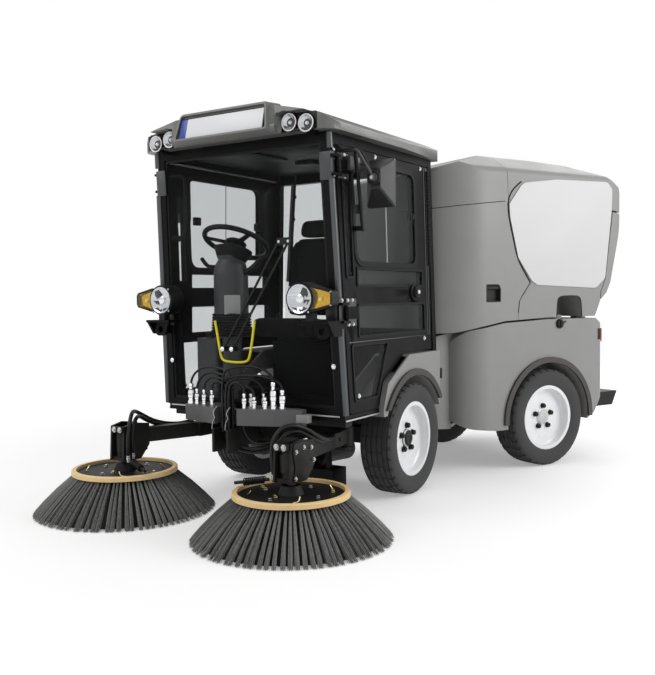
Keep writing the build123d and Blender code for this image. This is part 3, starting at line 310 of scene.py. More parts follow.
# Grained trim moulding, dull and dark.
DARK_TRIM = Finish("grained_trim_dark", "#232324", 0.55, ior=1.35, grain_mm=1.2, grain_depth=0.25)
# Extruded rubber, matt black.
SEAL_RUBBER = Finish("seal_rubber_black", "#0c0c0d", 0.55, ior=1.3, grain_mm=1.0, grain_depth=0.1)
# Grey metal: on the corner extrusions, which are black powder coat, its grey is a painted
# highlight; it also makes the door's beads. Then the pale strip, and the sheet steel of the hinge
# carriers.
GREY_STRIP_AND_HIGHLIGHT = Finish("grey_strip_and_painted_highlight", "#56585a", 0.38, metallic=0.9, grain_mm=1.0,
    grain_depth=0.05)
STRIP_PALE = Finish("anodised_strip_pale", "#b4b6b8", 0.35, metallic=0.8, grain_mm=1.0,
    grain_depth=0.05)
# Coated sheet steel of the hinge carriers.
PLATE_GREY = Finish("coated_sheet_steel", "#3e3f41", 0.42, grain_mm=1.2, grain_depth=0.1)
# Grey ABS of the steering pedestal and tank.
GREY_ABS = Finish("moulded_abs_grey", "#4b4b4d", 0.45, grain_mm=1.2, grain_depth=0.2)
# A pale painted plate with a soft, even sheen.
BADGE_GREY = Finish("painted_plate_pale_grey", "#c9c9c8", 0.45, grain_mm=1.0, grain_depth=0.05)
# Wet-painted sheet steel, smooth with slight orange peel.
CONSOLE_GREY = Finish("painted_steel_grey", "#5a5a5b", 0.4, grain_mm=1.3, grain_depth=0.15)
# Tyre rubber: matt, a little grey with release film.
TYRE_RUBBER = Finish("tyre_rubber", "#1d1d1e", 0.72, grain_mm=1.5, grain_depth=0.3, tone=0.1,
    patch_mm=60, dust=0.25)
# Braided hose's smooth rubber cover, with a soft highlight.
HOSE_RUBBER = Finish("hose_rubber", "#0f0f10", 0.4, ior=1.36, grain_mm=0.8, grain_depth=0.15)
# Stove enamel on the pressed wheel.
WHEEL_ENAMEL = Finish("stove_enamel_white", "#f1f2f3", 0.28, coat=0.4, grain_mm=2.0,
    grain_depth=0.04, tone=0.02)
# Turned plywood under clear varnish: warm, faintly grained.
TAN_RING = Finish("beech_ply_ring", "#f8d69c", 0.5, grain_mm=3.0, grain_depth=0.12, tone=0.06,
    patch_mm=40)
# Bright zinc plating: cool, slightly cloudy metal.
ZINC = Finish("zinc_plated_steel", "#b2b2b0", 0.24, metallic=1.0, grain_mm=1.0, grain_depth=0.08)
# Bent brass strip, pale and shiny.
BRASS = Finish("brass_clip", "#d9c68e", 0.25, metallic=1.0, grain_mm=1.0, grain_depth=0.06)
# Polished chrome plating, nearly a mirror.
CHROME = Finish("chromed_steel", "#e2e2e4", 0.1, metallic=1.0, grain_mm=2.0, grain_depth=0.02)
# Sand-cast iron, coarse and dull.
ENGINE_IRON = Finish("grey_cast_iron", "#3d3d3c", 0.6, metallic=0.6, grain_mm=2.5, grain_depth=0.4)
# Retroreflective sheet: flat, even, faintly glossy.
PLATE_WHITE = Finish("retroreflective_sheet_white", "#e9eaec", 0.35, grain_mm=1.0,
    grain_depth=0.05, tone=0.01)
PLATE_BLUE = Finish("retroreflective_sheet_blue", "#1d3f9c", 0.35, grain_mm=1.0, grain_depth=0.05,
    tone=0.01)
# Through-dyed moulded trim, vivid and smooth.
SIGNAL_YELLOW = Finish("moulded_trim_yellow", "#f1e312", 0.4, grain_mm=1.2, grain_depth=0.1)
# Woven cloth, drawn coarse enough for its threads to show.
SEAT_CLOTH = Finish("woven_seat_cloth", "#1c1c1e", 0.9, grain_mm=2.0, grain_depth=0.5)
# Extruded nylon, greyed with dust, each strand a little different.
BRISTLE = Finish("nylon_bristle_grey", "#6a6b69", 0.45, grain_mm=3.0, grain_depth=0.2, tone=0.3,
    patch_mm=14)
# The inner row of bristles, nearly black as painted shade in the gaps between the outer tufts.
BRISTLE_PAINTED_SHADE = Finish("nylon_bristle_painted_shade", "#151515", 0.7, grain_mm=3.0, grain_depth=0.2,
    tone=0.2, patch_mm=14)
# Moulded ABS with a fine grain that breaks up the light.
MIRROR_ABS = Finish("moulded_mirror_abs", "#2b2b2c", 0.45, grain_mm=1.0, grain_depth=0.2)
# Float glass, hardly tinted, with a thin sheen.
CAB_GLASS = Glass("tinted_cab_glass", "#eeefef", 0.02, ior=1.14, clear=0.995, patch_mm=300)
DOOR_GLASS = Glass("tinted_door_glass", "#ebecec", 0.02, ior=1.16, clear=0.99, patch_mm=300)
# Moulded polycarbonate: clear, with a sharp highlight; the amber one is dyed.
LENS_CLEAR = Glass("clear_polycarbonate_lens", "#fafbfb", 0.03, ior=1.3, clear=0.94, patch_mm=20)
LENS_AMBER = Glass("amber_polycarbonate_lens", "#fcecb0", 0.05, ior=1.3, clear=0.9, patch_mm=20)
# Vacuum-metallised bowls, the white of frosted bulbs, and silvered glass.
REFLECTOR = Finish("metallised_reflector", "#c4c6c9", 0.14, metallic=1.0, grain_mm=3.0,
    grain_depth=0.25)
LAMP_WHITE = Finish("frosted_lamp_white", "#fbfbfb", 0.3, grain_mm=2.0, grain_depth=0.03,
    tone=0.01)
MIRROR_GLASS = Finish("silvered_mirror_glass", "#dfe1e2", 0.03, metallic=1.0, grain_mm=4.0,
    grain_depth=0.0, tone=0.01)
# Dyed and moulded acrylic, glossy over its ribs.
LAMP_RED = Finish("red_lamp_lens", "#cf4a22", 0.15, coat=0.6, grain_mm=2.5, grain_depth=0.3)

NODE_FINISHES: tuple[tuple[str, Finish], ...] = (("tyre", TYRE_RUBBER), ("rim", WHEEL_ENAMEL),
    ("cab_glass", CAB_GLASS), ("door_glass", DOOR_GLASS), ("door", BLACK_POWDER),
    ("cab_roof", ROOF_GREY_PAINTED_SHADE), ("cab_frame", BLACK_POWDER), ("cab_floor", BLACK_POWDER),
    ("hopper_panels", PANEL_WHITE), ("hopper", PANEL_GREY), ("tailgate", PANEL_GREY),
    ("lower_body", LOWER_GREY), ("front_fenders", PANEL_GREY), ("front_arch_trims", ARCH_PLASTIC),
    ("rear_arch_trims", ARCH_PLASTIC), ("bristles", BRISTLE), ("broom_ring", TAN_RING),
    ("seat_base", BLACK_ABS), ("seat", SEAT_CLOTH), ("hydraulic_couplings", CHROME),
    ("number_plate", PLATE_WHITE), ("headlamps", BLACK_ABS), ("work_lights", LENS_CLEAR),
    ("tail_lamps", LAMP_RED), ("coupling_consoles", CONSOLE_GREY), ("steering_column", GREY_ABS),
    ("washer_tank", GREY_ABS), ("steering_wheel", BLACK_ABS), ("mirror", MIRROR_ABS),
    ("engine_block", ENGINE_IRON), ("wiper", BLACK_ABS), ("front_chassis", CHASSIS_BLACK),
    ("rear_chassis", CHASSIS_BLACK), ("front_axle", CHASSIS_BLACK), ("rear_axle", CHASSIS_BLACK),
    ("suction_mouth", CHASSIS_BLACK), ("broom_plate", SEAL_RUBBER), ("broom", CHASSIS_BLACK))


def dress_nodes(nodes: dict[str, Piece]) -> None:
    """Gives every carried-over solid its finish.

    Args:
        nodes: The frame's nodes by name.
    """
    for name, obj in nodes.items():
        finish = next((f for stem, f in NODE_FINISHES if name.startswith(stem)), BLACK_ABS)
        material = finish.material()
        for slot in obj.material_slots:
            slot.material = material
        if not obj.material_slots:
            obj.data.materials.append(material)


# ---- hand tools ----
def lay_down() -> None:
    """Leaves nothing selected and no mesh open."""
    if bpy.context.object and bpy.context.object.mode != "OBJECT":
        bpy.ops.object.mode_set(mode="OBJECT")
    bpy.ops.object.select_all(action="DESELECT")


def open_mesh() -> None:
    """Opens the active mesh with all of it selected by its points."""
    bpy.ops.object.mode_set(mode="EDIT")
    bpy.ops.mesh.select_mode(type="VERT")
    bpy.ops.mesh.select_all(action="SELECT")


def take(*objects: Piece) -> None:
    """Selects these objects alone, the last of them active."""
    lay_down()
    for obj in objects:
        obj.select_set(True)
        bpy.context.view_layer.objects.active = obj


def named(name: str) -> Piece:
    """Names the active object and its mesh."""
    obj = bpy.context.object
    obj.name = name
    obj.data.name = name
    return obj


def shut() -> None:
    """Turns every face of the open mesh outwards and closes it."""
    bpy.ops.mesh.select_all(action="SELECT")
    bpy.ops.mesh.normals_make_consistent(inside=False)
    bpy.ops.object.mode_set(mode="OBJECT")


def pull(way: Sequence[float]) -> None:
    """Draws the selected faces out along a way in metres."""
    bpy.ops.mesh.extrude_region_move(TRANSFORM_OT_translate={"value": way})


def set_down(obj: Piece, spot: Matrix) -> None:
    """Moves a piece to its place and leaves the place in its mesh."""
    obj.matrix_world = spot
    bpy.ops.object.transform_apply(location=True, rotation=True, scale=True)


def blank(name: str, outline: Outline, corner: float) -> Piece:
    """A flat face cut to an outline, its corners rounded, left open for what follows.

    Args:
        name: The object's name.
        outline: Points in millimetres, anticlockwise as seen from the front.
        corner: Corner radius.

    Returns:
        The new object.
    """
    lay_down()
    bpy.ops.mesh.primitive_circle_add(vertices=len(outline), radius=1, fill_type="NGON")
    obj = named(name)
    for vertex, (u, v) in zip(obj.data.vertices, outline):
        vertex.co = (u * MM, v * MM, 0)
    open_mesh()
    if corner:
        bpy.ops.mesh.bevel(offset=corner * MM, offset_type="OFFSET", segments=5,
            affect="VERTICES", clamp_overlap=True)
    return obj


def block(name: str, low: Sequence[float], high: Sequence[float], bevel: float = 2.0,
        segments: int = 2) -> Piece:
    """A cube set to its size and place, with its edges rounded.

    Args:
        name: The object's name.
        low: Lowest corner in millimetres.
        high: Highest corner.
        bevel: Edge radius.
        segments: Steps of that radius.

    Returns:
        The new object.
    """
    lay_down()
    middle = [(a + b) / 2 * MM for a, b in zip(low, high)]
    size = [(b - a) * MM for a, b in zip(low, high)]
    bpy.ops.mesh.primitive_cube_add(size=1, location=middle)
    obj = named(name)
    obj.scale = size
    bpy.ops.object.transform_apply(location=True, rotation=True, scale=True)
    open_mesh()
    bpy.ops.mesh.bevel(offset=bevel * MM, segments=segments, affect="EDGES")
    bpy.ops.object.mode_set(mode="OBJECT")
    return obj


def turned(name: str, profile: Outline, start: Sequence[float], axis: Sequence[float] = (0, 0, 1),
        sides: int = 32) -> Piece:
    """A ring drawn up step by step along its axis, as on a lathe.

    Args:
        name: The object's name.
        profile: Radius and height pairs from foot to top; a first radius of 0
            makes it solid, a last one caps it.
        start: Where the profile's zero height stands, in millimetres.
        axis: The way the heights run.
        sides: Sides of the ring.

    Returns:
        The new object.
    """
    lay_down()
    closed_low = profile[0][0] == 0
    closed_high = profile[-1][0] == 0
    steps = [p for p in profile if p[0] > 0]
    radius, height = steps[0]
    bpy.ops.mesh.primitive_circle_add(vertices=sides, radius=radius * MM, fill_type="NGON"
        if closed_low else "NOTHING", location=(0, 0, height * MM))
    obj = named(name)
    bpy.ops.object.transform_apply(location=True, rotation=False, scale=False)
    open_mesh()
    for wide, high in steps[1:]:
        pull((0, 0, (high - height) * MM))
        grow = wide / radius
        bpy.ops.transform.resize(value=(grow, grow, 1), center_override=(0, 0, high * MM))
        radius, height = wide, high
    if closed_high and not closed_low:
        bpy.ops.mesh.edge_face_add()
    shut()
    turn = Vector((0, 0, 1)).rotation_difference(Vector(axis)).to_matrix().to_4x4()
    set_down(obj, Matrix.Translation(Vector(start) * MM) @ turn)
    return obj


def plate(name: str, outline: Outline, thickness: float, spot: Matrix, corner: float = 0.0,
        bevel: float = 0.8) -> Piece:
    """A flat blank cut to an outline, its corners rounded, then drawn to its thickness.

    Args:
        name: The object's name.
        outline: Points in millimetres, anticlockwise as seen from the front.
        thickness: Millimetres drawn out towards the front.
        spot: Where the blank's own frame lies, in metres.
        corner: Corner radius.
        bevel: Radius of the front edge.

    Returns:
        The new object.
    """
    obj = blank(name, outline, corner)
    bpy.ops.mesh.select_all(action="SELECT")
    pull((0, 0, thickness * MM))
    if bevel:
        bpy.ops.mesh.inset(thickness=bevel * MM, depth=0)
        bpy.ops.transform.translate(value=(0, 0, bevel * MM * 0.6))
    shut()
    set_down(obj, spot)
    return obj


def tube(name: str, points: Sequence[Sequence[float]], radius: float, sides: int = 6,
        order: int = 3) -> Piece:
    """A hose or bent rod along a smooth line.

    Args:
        name: The object's name.
        points: Control points in millimetres.
        radius: The tube's radius.
        sides: Steps round half of it.
        order: Smoothness of the line.

    Returns:
        The new object, a mesh.
    """
    lay_down()
    data = bpy.data.curves.new(name, "CURVE")
    data.dimensions = "3D"
    data.bevel_depth = radius * MM
    data.bevel_resolution = max(1, sides // 2)
    data.resolution_u = 8
    data.use_fill_caps = True
    line = data.splines.new("NURBS")
    line.points.add(len(points) - 1)
    for spot, point in zip(line.points, points):
        spot.co = (point[0] * MM, point[1] * MM, point[2] * MM, 1)
    line.order_u = min(order, len(points))
    line.use_endpoint_u = True
    obj = bpy.data.objects.new(name, data)
    bpy.context.scene.collection.objects.link(obj)
    take(obj)
    bpy.ops.object.convert(target="MESH")
    return named(name)


def copy_of(obj: Piece, move: Matrix) -> Piece:
    """A copy with its own mesh, moved.

    Args:
        obj: The piece.
        move: The move, in metres.

    Returns:
        The new piece.
    """
    twin = obj.copy()
    twin.data = obj.data.copy()
    twin.data.transform(move)
    if move.determinant() < 0:
        twin.data.flip_normals()
    bpy.context.scene.collection.objects.link(twin)
    return twin


def round_of(obj: Piece, count: int, centre: Sequence[float], axis: Sequence[float] = (0, 0,
        1)) -> list[Piece]:
    """The object and its copies spread evenly round an axis.

    Args:
        obj: The first of them.
        count: How many in all.
        centre: A point on the axis in millimetres.
        axis: The axis.

    Returns:
        All of them.
    """
    spot = Matrix.Translation(Vector(centre) * MM)
    made = [obj]
    for number in range(1, count):
        turn = Matrix.Rotation(2 * math.pi * number / count, 4, Vector(axis))
        made.append(copy_of(obj, spot @ turn @ spot.inverted()))
    return made


def joined(name: str, objects: Iterable[Piece]) -> Piece:
    """Several objects made one.

    Args:
        name: The piece's name.
        objects: What is joined.

    Returns:
        The new piece.
    """
    objects = list(objects)
    take(*objects)
    if len(objects) > 1:
        bpy.ops.object.join()
    return named(name)


MIRROR = Matrix.Scale(-1, 4, Vector((1, 0, 0)))


def settle(obj: Piece, finish: Finish, body: str, station: Station = FRONT,
        side: Side = Side.LEFT, angle: float = 35.0) -> Piece:
    """Finishes a piece: its side, its place in the machine, its finish and its body.

    Args:
        obj: The modelled piece, drawn for the left side in its station's frame.
        finish: What it is made of.
        body: The body it moves with.
        station: Whose drawing frame it was made in.
        side: The right side mirrors it.
        angle: Edges sharper than this stay sharp.

    Returns:
        The piece.
    """
    take(obj)
    if side is Side.RIGHT:
        obj.data.transform(MIRROR)
        obj.data.flip_normals()
    obj.data.transform(station.matrix())
    obj.data.update()
    if not obj.data.materials:
        obj.data.materials.append(finish.material())
    bpy.ops.object.shade_smooth_by_angle(angle=math.radians(angle))
    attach(obj, body)
    return obj


# The broom arm's upright pin in the front drawing frame, in metres.
ARM_PIN = (0.42, -0.43, 0)


def broom_frame(side: Side) -> Matrix:
    """The small turn of a broom's arm at rest about its upright pin, in the drawing frame."""
    pin = Matrix.Translation(ARM_PIN)
    return pin @ Matrix.Rotation(math.radians(side.broom_swing), 4, "Z") @ pin.inverted()


def pick_faces(obj: Piece, test: Callable[[Vector, Vector], bool]) -> None:
    """Opens a mesh and selects the faces that pass a test on their middle and normal.

    Args:
        obj: The mesh object.
        test: Takes a face's middle and its normal.
    """
    take(obj)
    for polygon in obj.data.polygons:
        polygon.select = bool(test(polygon.center, polygon.normal))
    for edge in obj.data.edges:
        edge.select = False
    for vertex in obj.data.vertices:
        vertex.select = False
    bpy.ops.object.mode_set(mode="EDIT")
    bpy.ops.mesh.select_mode(type="FACE")


def drawn(name: str, path: Sequence[Sequence[float]], widths: Sequence[float],
        sides: int = 4) -> Piece:
    """A small ring drawn from point to point, swelling or thinning as it goes.

    Args:
        name: The object's name.
        path: Points in millimetres.
        widths: The ring's radius at each point.
        sides: Sides of the ring.

    Returns:
        The new object.
    """
    lay_down()
    start = [c * MM for c in path[0]]
    bpy.ops.mesh.primitive_circle_add(vertices=sides, radius=widths[0] * MM, fill_type="NGON",
        location=start)
    obj = named(name)
    bpy.ops.object.transform_apply(location=True, rotation=False, scale=False)
    open_mesh()
    for before, point, wide, last in zip(path, path[1:], widths[1:], widths):
        step = [(b - a) * MM for a, b in zip(before, point)]
        pull(step)
        grow = wide / last
        bpy.ops.transform.resize(value=(grow, grow, grow), center_override=[c * MM
            for c in point])
    shut()
    return obj


def bolt(name: str, spot: Sequence[float], axis: Sequence[float], radius: float = 9.0,
        height: float = 6.0) -> Piece:
    """A hexagon head on its washer.

    Args:
        name: The piece's name.
        spot: Where its foot stands.
        axis: The way it points.
        radius: From its middle to a corner.
        height: How tall it stands.

    Returns:
        The new piece.
    """
    wide = radius * 1.35
    washer = turned(name, [(0, 0), (wide, 0), (wide, 1.6), (0, 1.6)], spot, axis, 20)
    head = turned(name, [(0, 1.6), (radius, 1.6), (radius, height), (radius * 0.82, height + 1.2),
        (0, height + 1.2)], spot, axis, 6)
    return joined(name, [washer, head])


# ---- studio ----
@dataclass
class Studio:
    """The camera, a pale floor and soft light."""

    eye: Point = (2.5773, -4.5259, 1.1019)
    yaw: float = 32.567
    pitch: float = -2.859
    roll: float = -0.696
    lens: float = 45.28
    lamp_watts: float = 150.0
    sky: float = 0.5

    def build(self) -> None:
        """Sets up everything that isn't part of the machine."""
        scene = bpy.context.scene
        scene.view_settings.view_transform = "Standard"
        self.camera()
        self.floor()
        self.air()
        self.lamps()

    def camera(self) -> None:
        """A camera at a standing person's chest height, before the front left corner."""
        yaw, pitch, roll = (math.radians(a) for a in (self.yaw, self.pitch, self.roll))
        right = Vector((math.cos(yaw), math.sin(yaw), 0))
        look = Vector((-math.sin(yaw) * math.cos(pitch), math.cos(yaw) * math.cos(pitch),
            math.sin(pitch)))
        up = right.cross(look)
        right, up = (math.cos(roll) * right + math.sin(roll) * up,
            -math.sin(roll) * right + math.cos(roll) * up)
        data = bpy.data.cameras.new("camera")
        data.sensor_fit = "VERTICAL"
        data.sensor_height = 36.0
        data.lens = self.lens
        data.clip_end = 200.0
        camera = bpy.data.objects.new("camera", data)
        camera.matrix_world = Matrix.Translation(self.eye) @ Matrix(
            (right, up, -look)).transposed().to_4x4()
        bpy.context.scene.collection.objects.link(camera)
        bpy.context.scene.camera = camera

    def floor(self) -> None:
        """A wide pale floor that keeps the shadow and shows white elsewhere."""
        lay_down()
        bpy.ops.mesh.primitive_plane_add(size=120, location=(0, 0, 0))
        floor = named("floor")
        made = bpy.data.materials.new("painted_studio_floor")
        made.use_nodes = True
        tree = made.node_tree
        shader = tree.nodes["Principled BSDF"]
        shader.inputs["Base Color"].default_value = linear("#f4f4f4")
        shader.inputs["Roughness"].default_value = 0.9
        shader.inputs["Specular IOR Level"].default_value = 0.1
        spot = add_node(tree, "ShaderNodeTexCoord").outputs["Object"]
        away = add_node(tree, "ShaderNodeVectorMath", {0: spot}, operation="LENGTH")
        rise = add_node(tree, "ShaderNodeMapRange", {"Value": away.outputs["Value"],
            "From Min": 2.4, "From Max": 7.0, "To Min": 0.3, "To Max": 0.62})
        glow = add_node(tree, "ShaderNodeEmission", {"Color": (1, 1, 1, 1),
            "Strength": rise.outputs["Result"]})
        both = add_node(tree, "ShaderNodeAddShader", {0: shader.outputs[0], 1: glow.outputs[0]})
        seen = add_node(tree, "ShaderNodeMixShader", {0: self.looked_at(tree),
            1: shader.outputs[0], 2: both.outputs[0]})
        tree.links.new(seen.outputs[0], tree.nodes["Material Output"].inputs["Surface"])
        floor.data.materials.append(made)

    def looked_at(self, tree: NodeTree) -> Socket:
        """1 where the eye, a gloss or a pane looks at a surface, and 0 where it gives light.

        Args:
            tree: The material's node tree.

        Returns:
            The value's socket.
        """
        rays = add_node(tree, "ShaderNodeLightPath")
        mirrored = add_node(tree, "ShaderNodeMath", {0: rays.outputs["Is Glossy Ray"],
            1: rays.outputs["Is Transmission Ray"]}, operation="MAXIMUM")
        return add_node(tree, "ShaderNodeMath", {0: rays.outputs["Is Camera Ray"],
            1: mirrored.outputs[0]}, operation="MAXIMUM").outputs[0]

    def air(self) -> None:
        """White air to the eye, mirrors and glass; plain soft light to everything else."""
        world = bpy.data.worlds.new("studio_air")
        bpy.context.scene.world = world
        world.use_nodes = True
        tree = world.node_tree
        tree.nodes.clear()
        soft = add_node(tree, "ShaderNodeBackground", {"Color": (1, 1, 1, 1),
            "Strength": self.sky})
        white = add_node(tree, "ShaderNodeBackground", {"Color": (1, 1, 1, 1), "Strength": 1.0})
        mix = add_node(tree, "ShaderNodeMixShader", {0: self.looked_at(tree), 1: soft.outputs[0],
            2: white.outputs[0]})
        out = add_node(tree, "ShaderNodeOutputWorld")
        tree.links.new(mix.outputs[0], out.inputs["Surface"])

    def lamps(self) -> None:
        """Three wide soft boxes: over the front, at the left flank and behind."""
        for name, spot, size, watts in (("over_front", (-2.5, -4.5, 5.0), 4.0, 0.7),
                ("left_flank", (6.2, 1.6, 3.2), 4.0, 1.14), ("behind", (0.5, 6.0, 4.4), 4.0,
                0.6)):
            data = bpy.data.lights.new(name, "AREA")
            data.shape = "DISK"
            data.size = size
            data.energy = self.lamp_watts * watts
            lamp = bpy.data.objects.new(name, data)
            aim = Vector((0, 0, 0.8)) - Vector(spot)
            lamp.matrix_world = Matrix.Translation(spot) @ aim.to_track_quat("-Z",
                "Y").to_matrix().to_4x4()
            bpy.context.scene.collection.objects.link(lamp)


# ---- wheels ----
@dataclass
class Wheels:
    """Four 15 inch wheels: treaded tyres, nuts and hub caps."""

    radius: float = 307.5
    width: float = 195.0
    bead: float = 200.0
    track: float = 507.5
    disc_face: float = 541.5
    bolt_circle: float = 70.0
    sides: int = 96
    nut: float = 15.5
    spots: tuple[tuple[str, float, Station], ...] = (("front", 0.0, FRONT),
        ("rear", 1027.0, REAR))

    def build(self) -> None:
        """Makes and dresses all four."""
        for name, y, station in self.spots:
            for side in Side:
                body = f"wheel_{name}_{side.value}"
                tyre = self.tyre(f"treaded_tyre_{name}_{side.value}", y)
                settle(tyre, TYRE_RUBBER, body, station, side, 30)
                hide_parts(f"tyre_{name}_{side.value}")
                nuts = self.nuts(f"wheel_nuts_{name}_{side.value}", y)
                settle(nuts, BLACK_ABS, body, station, side)
                cap = self.cap(f"hub_cap_{name}_{side.value}", y, name == "front")
                settle(cap, BLACK_ABS if name == "front" else ZINC, body, station, side)
                LOG.info("wheel %s %s", name, side.value)

    def tyre(self, name: str, y: float) -> Piece:
        """A radial tyre with four grooves round it and cut shoulders.

        Args:
            name: The piece's name.
            y: Its place rearwards.

        Returns:
            The new piece.
        """
        half = self.width / 2
        top = self.radius
        flank = [(self.bead, -half + 22), (self.bead + 6, -half + 12),
            (self.bead + 14, -half + 9), (236, -half + 2), (262, -half), (282, -half + 2),
            (294, -half + 8), (top - 4, -half + 17)]
        ribs = []
        for start, end in ((-72, -50), (-43, -20), (-13, 13), (20, 43), (50, 72)):
            crown = top - 2.5 * (max(abs(start), abs(end)) / half) ** 2
            ribs += [(crown - 6.5, start), (crown, start + 0.8), (crown, end - 0.8),
                (crown - 6.5, end)]
        profile = flank + ribs + [(r, -h) for r, h in reversed(flank)]
        tyre = turned(name, profile, (self.track, y, self.radius), (1, 0, 0), self.sides)
        middle = Vector((self.track, y, self.radius)) * MM

        def shoulder(spot: Vector, _normal: Vector) -> bool:
            """Every third face of the shoulders and of the outer ribs' gaps."""
            across = abs(spot.x - middle.x) / MM
            arm = spot - middle
            reach = math.hypot(arm.y, arm.z) / MM
            number = int((math.atan2(arm.z, arm.y) / (2 * math.pi) + 0.5) * self.sides)
            outer = 50.5 < across < 90 and reach > 290
            inner = across < 42.5 and reach > self.radius - 3.2
            return (outer and number % 3 == 0) or (inner and number % 4 == 1)

        pick_faces(tyre, shoulder)
        bpy.ops.mesh.inset(thickness=0.6 * MM, depth=-4.0 * MM, use_individual=False)
        bpy.ops.object.mode_set(mode="OBJECT")
        return tyre

    def nuts(self, name: str, y: float) -> Piece:
        """Five wheel nuts on their circle.

        Args:
            name: The piece's name.
            y: Its place rearwards.

        Returns:
            The new piece.
        """
        spot = (self.disc_face, y, self.radius + self.bolt_circle)
        profile = [(0, 0), (self.nut + 3, 0), (self.nut + 3, 3), (self.nut, 4), (self.nut, 18),
            (self.nut - 3.5, 22), (0, 22)]
        nut = turned(name, profile, spot, (1, 0, 0), 6)
        return joined(name, round_of(nut, 5, (self.disc_face, y, self.radius), (1, 0, 0)))

    def cap(self, name: str, y: float, driven: bool) -> Piece:
        """The cap over the hub's middle."""
        reach = 16 if driven else 12
        profile = [(50, 0), (50, 3), (44, 5), (43, reach), (38, reach + 4), (16, reach + 5),
            (14, reach + 3), (0, reach + 3)]
        return turned(name, profile, (self.disc_face, y, self.radius), (1, 0, 0), 40)


# ---- brooms ----
@dataclass
class Broom:
    """One disc broom: bristles in tufts, and bolts and brass clips on its plate."""

    side: Side
    centre: tuple[float, float] = (530.0, -1050.0)
    ring_bottom: float = 198.0
    top_radius: float = 247.0
    foot_radius: float = 447.0
    tufts: int = 88
    strands: int = 17

    def build(self) -> None:
        """Makes and dresses the broom."""
        word = self.side.value
        body = f"broom_{word}"
        bristles = self.place(self.bristles(f"bristle_tufts_{word}"))
        settle(bristles, BRISTLE, body, FRONT, self.side, 50)
        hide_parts(f"bristles_{word}")
        core = self.place(self.inner_row(f"bristle_inner_{word}"))
        settle(core, BRISTLE_PAINTED_SHADE, body, FRONT, self.side, 50)
        settle(self.place(self.plate_bolts(f"plate_bolts_{word}")), ZINC, body, FRONT, self.side)
        settle(self.place(self.clips(f"plate_clips_{word}")), BRASS, body, FRONT, self.side)
        LOG.info("broom %s", word)

    def clips(self, name: str) -> Piece:
        """Bent brass clips and studs near the plate's rim.

        Args:
            name: The piece's name.

        Returns:
            The new piece.
        """
        x, y, z = self.centre[0], self.centre[1], self.ring_bottom + 9
        made = []
        for reach, turn in ((95, -100), (190, 172), (190, 40)):
            angle = math.radians(turn)
            spot = (x + reach * math.cos(angle), y + reach * math.sin(angle), z)
            made.append(bolt(name, spot, (0, 0, 1), 9, 9))
        for spot in (40, 130, 220, 310):
            path = []
            for reach, turn, up in ((196, 0, 3), (196, 5, 4), (190, 9, 12), (182, 10, 26)):
                angle = math.radians(spot + turn)
                path.append((x + reach * math.cos(angle), y + reach * math.sin(angle), z + up))
            made.append(tube(name, path, 3.2, 6))
        return joined(name, made)

    def place(self, obj: Piece) -> Piece:
        """Swings a drawn piece to where the arm rests."""
        obj.data.transform(broom_frame(self.side))
        return obj

    def tuft(self, name: str, lean: float, seed: int) -> Piece:
        """A few dozen stiff strands that leave one hole and fan out to the ground.

        Args:
            name: The piece's name.
            lean: How far the strands lean, in degrees.
            seed: Which kind of tuft this is.

        Returns:
            The new piece.
        """
        made = []
        for number in range(self.strands):
            share = (number + 0.5) / self.strands * 2 - 1
            drift = math.sin(seed * 12.9 + number * 78.2) * 43758.5453 % 1
            wander = math.sin(seed * 4.1 + number * 31.7) * 24634.6345 % 1
            row = (number * 7 % self.strands) / self.strands
            start = self.top_radius - 13 + 26 * row
            end = self.foot_radius - 6 + 24 * row + 3 * (drift - 0.5)
            fan = share * 1.08
            path = []
            for down in (0.0, 0.4, 0.75, 1.0):
                reach = start + (end - start) * down + 10 * math.sin(down * math.pi)
                turn = math.radians(fan * (0.75 + 0.35 * down) + lean * down + 0.5
                    * (wander - 0.5) * down)
                height = self.ring_bottom - 0.4 - (self.ring_bottom - 3 - 1.5 * drift) * down
                path.append((self.centre[0] + reach * math.cos(turn),
                    self.centre[1] + reach * math.sin(turn), height))
            made.append(drawn(name, path, (1.5, 1.7, 1.8, 1.3)))
        return joined(name, made)

    def bristles(self, name: str) -> Piece:
        """Tufts all round: four kinds, copied in turn.

        Args:
            name: The piece's name.

        Returns:
            The new piece.
        """
        centre = (self.centre[0], self.centre[1], 0)
        kinds = [self.tuft(f"{name}_{k}", lean, k) for k, lean in enumerate((0.0, 0.5, -0.6, 0.2))]
        spot = Matrix.Translation(Vector(centre) * MM)
        made = []
        for number in range(self.tufts):
            kind = kinds[(number * 3 + number // 5) % len(kinds)]
            jitter = 0.6 * math.sin(number * 2.3)
            turn = Matrix.Rotation(math.radians(360 / self.tufts * number + jitter), 4, "Z")
            made.append(copy_of(kind, spot @ turn @ spot.inverted()))
        for kind in kinds:
            bpy.data.objects.remove(kind)
        return joined(name, made)

    def inner_row(self, name: str) -> Piece:
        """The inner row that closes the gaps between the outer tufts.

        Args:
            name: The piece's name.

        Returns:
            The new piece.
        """
        # The near-black finish of this row is painted shade in the gaps between the outer tufts.
        x, y = self.centre
        first = drawn(name, [(x + self.top_radius - 26, y, self.ring_bottom - 0.4),
            (x + self.top_radius + 66, y, self.ring_bottom * 0.58),
            (x + self.foot_radius - 62, y, self.ring_bottom * 0.26),
            (x + self.foot_radius - 28, y, 8)], (6.0, 7.5, 8.6, 9.0))
        return joined(name, round_of(first, 164, (x, y, 0)))

    def plate_bolts(self, name: str) -> Piece:
        """Bolts round the black plate."""
        spot = (self.centre[0] + 150, self.centre[1], self.ring_bottom + 8.2)
        first = bolt(name, spot, (0, 0, 1), 9, 9)
        return joined(name, round_of(first, 4, (self.centre[0], self.centre[1], 0)))


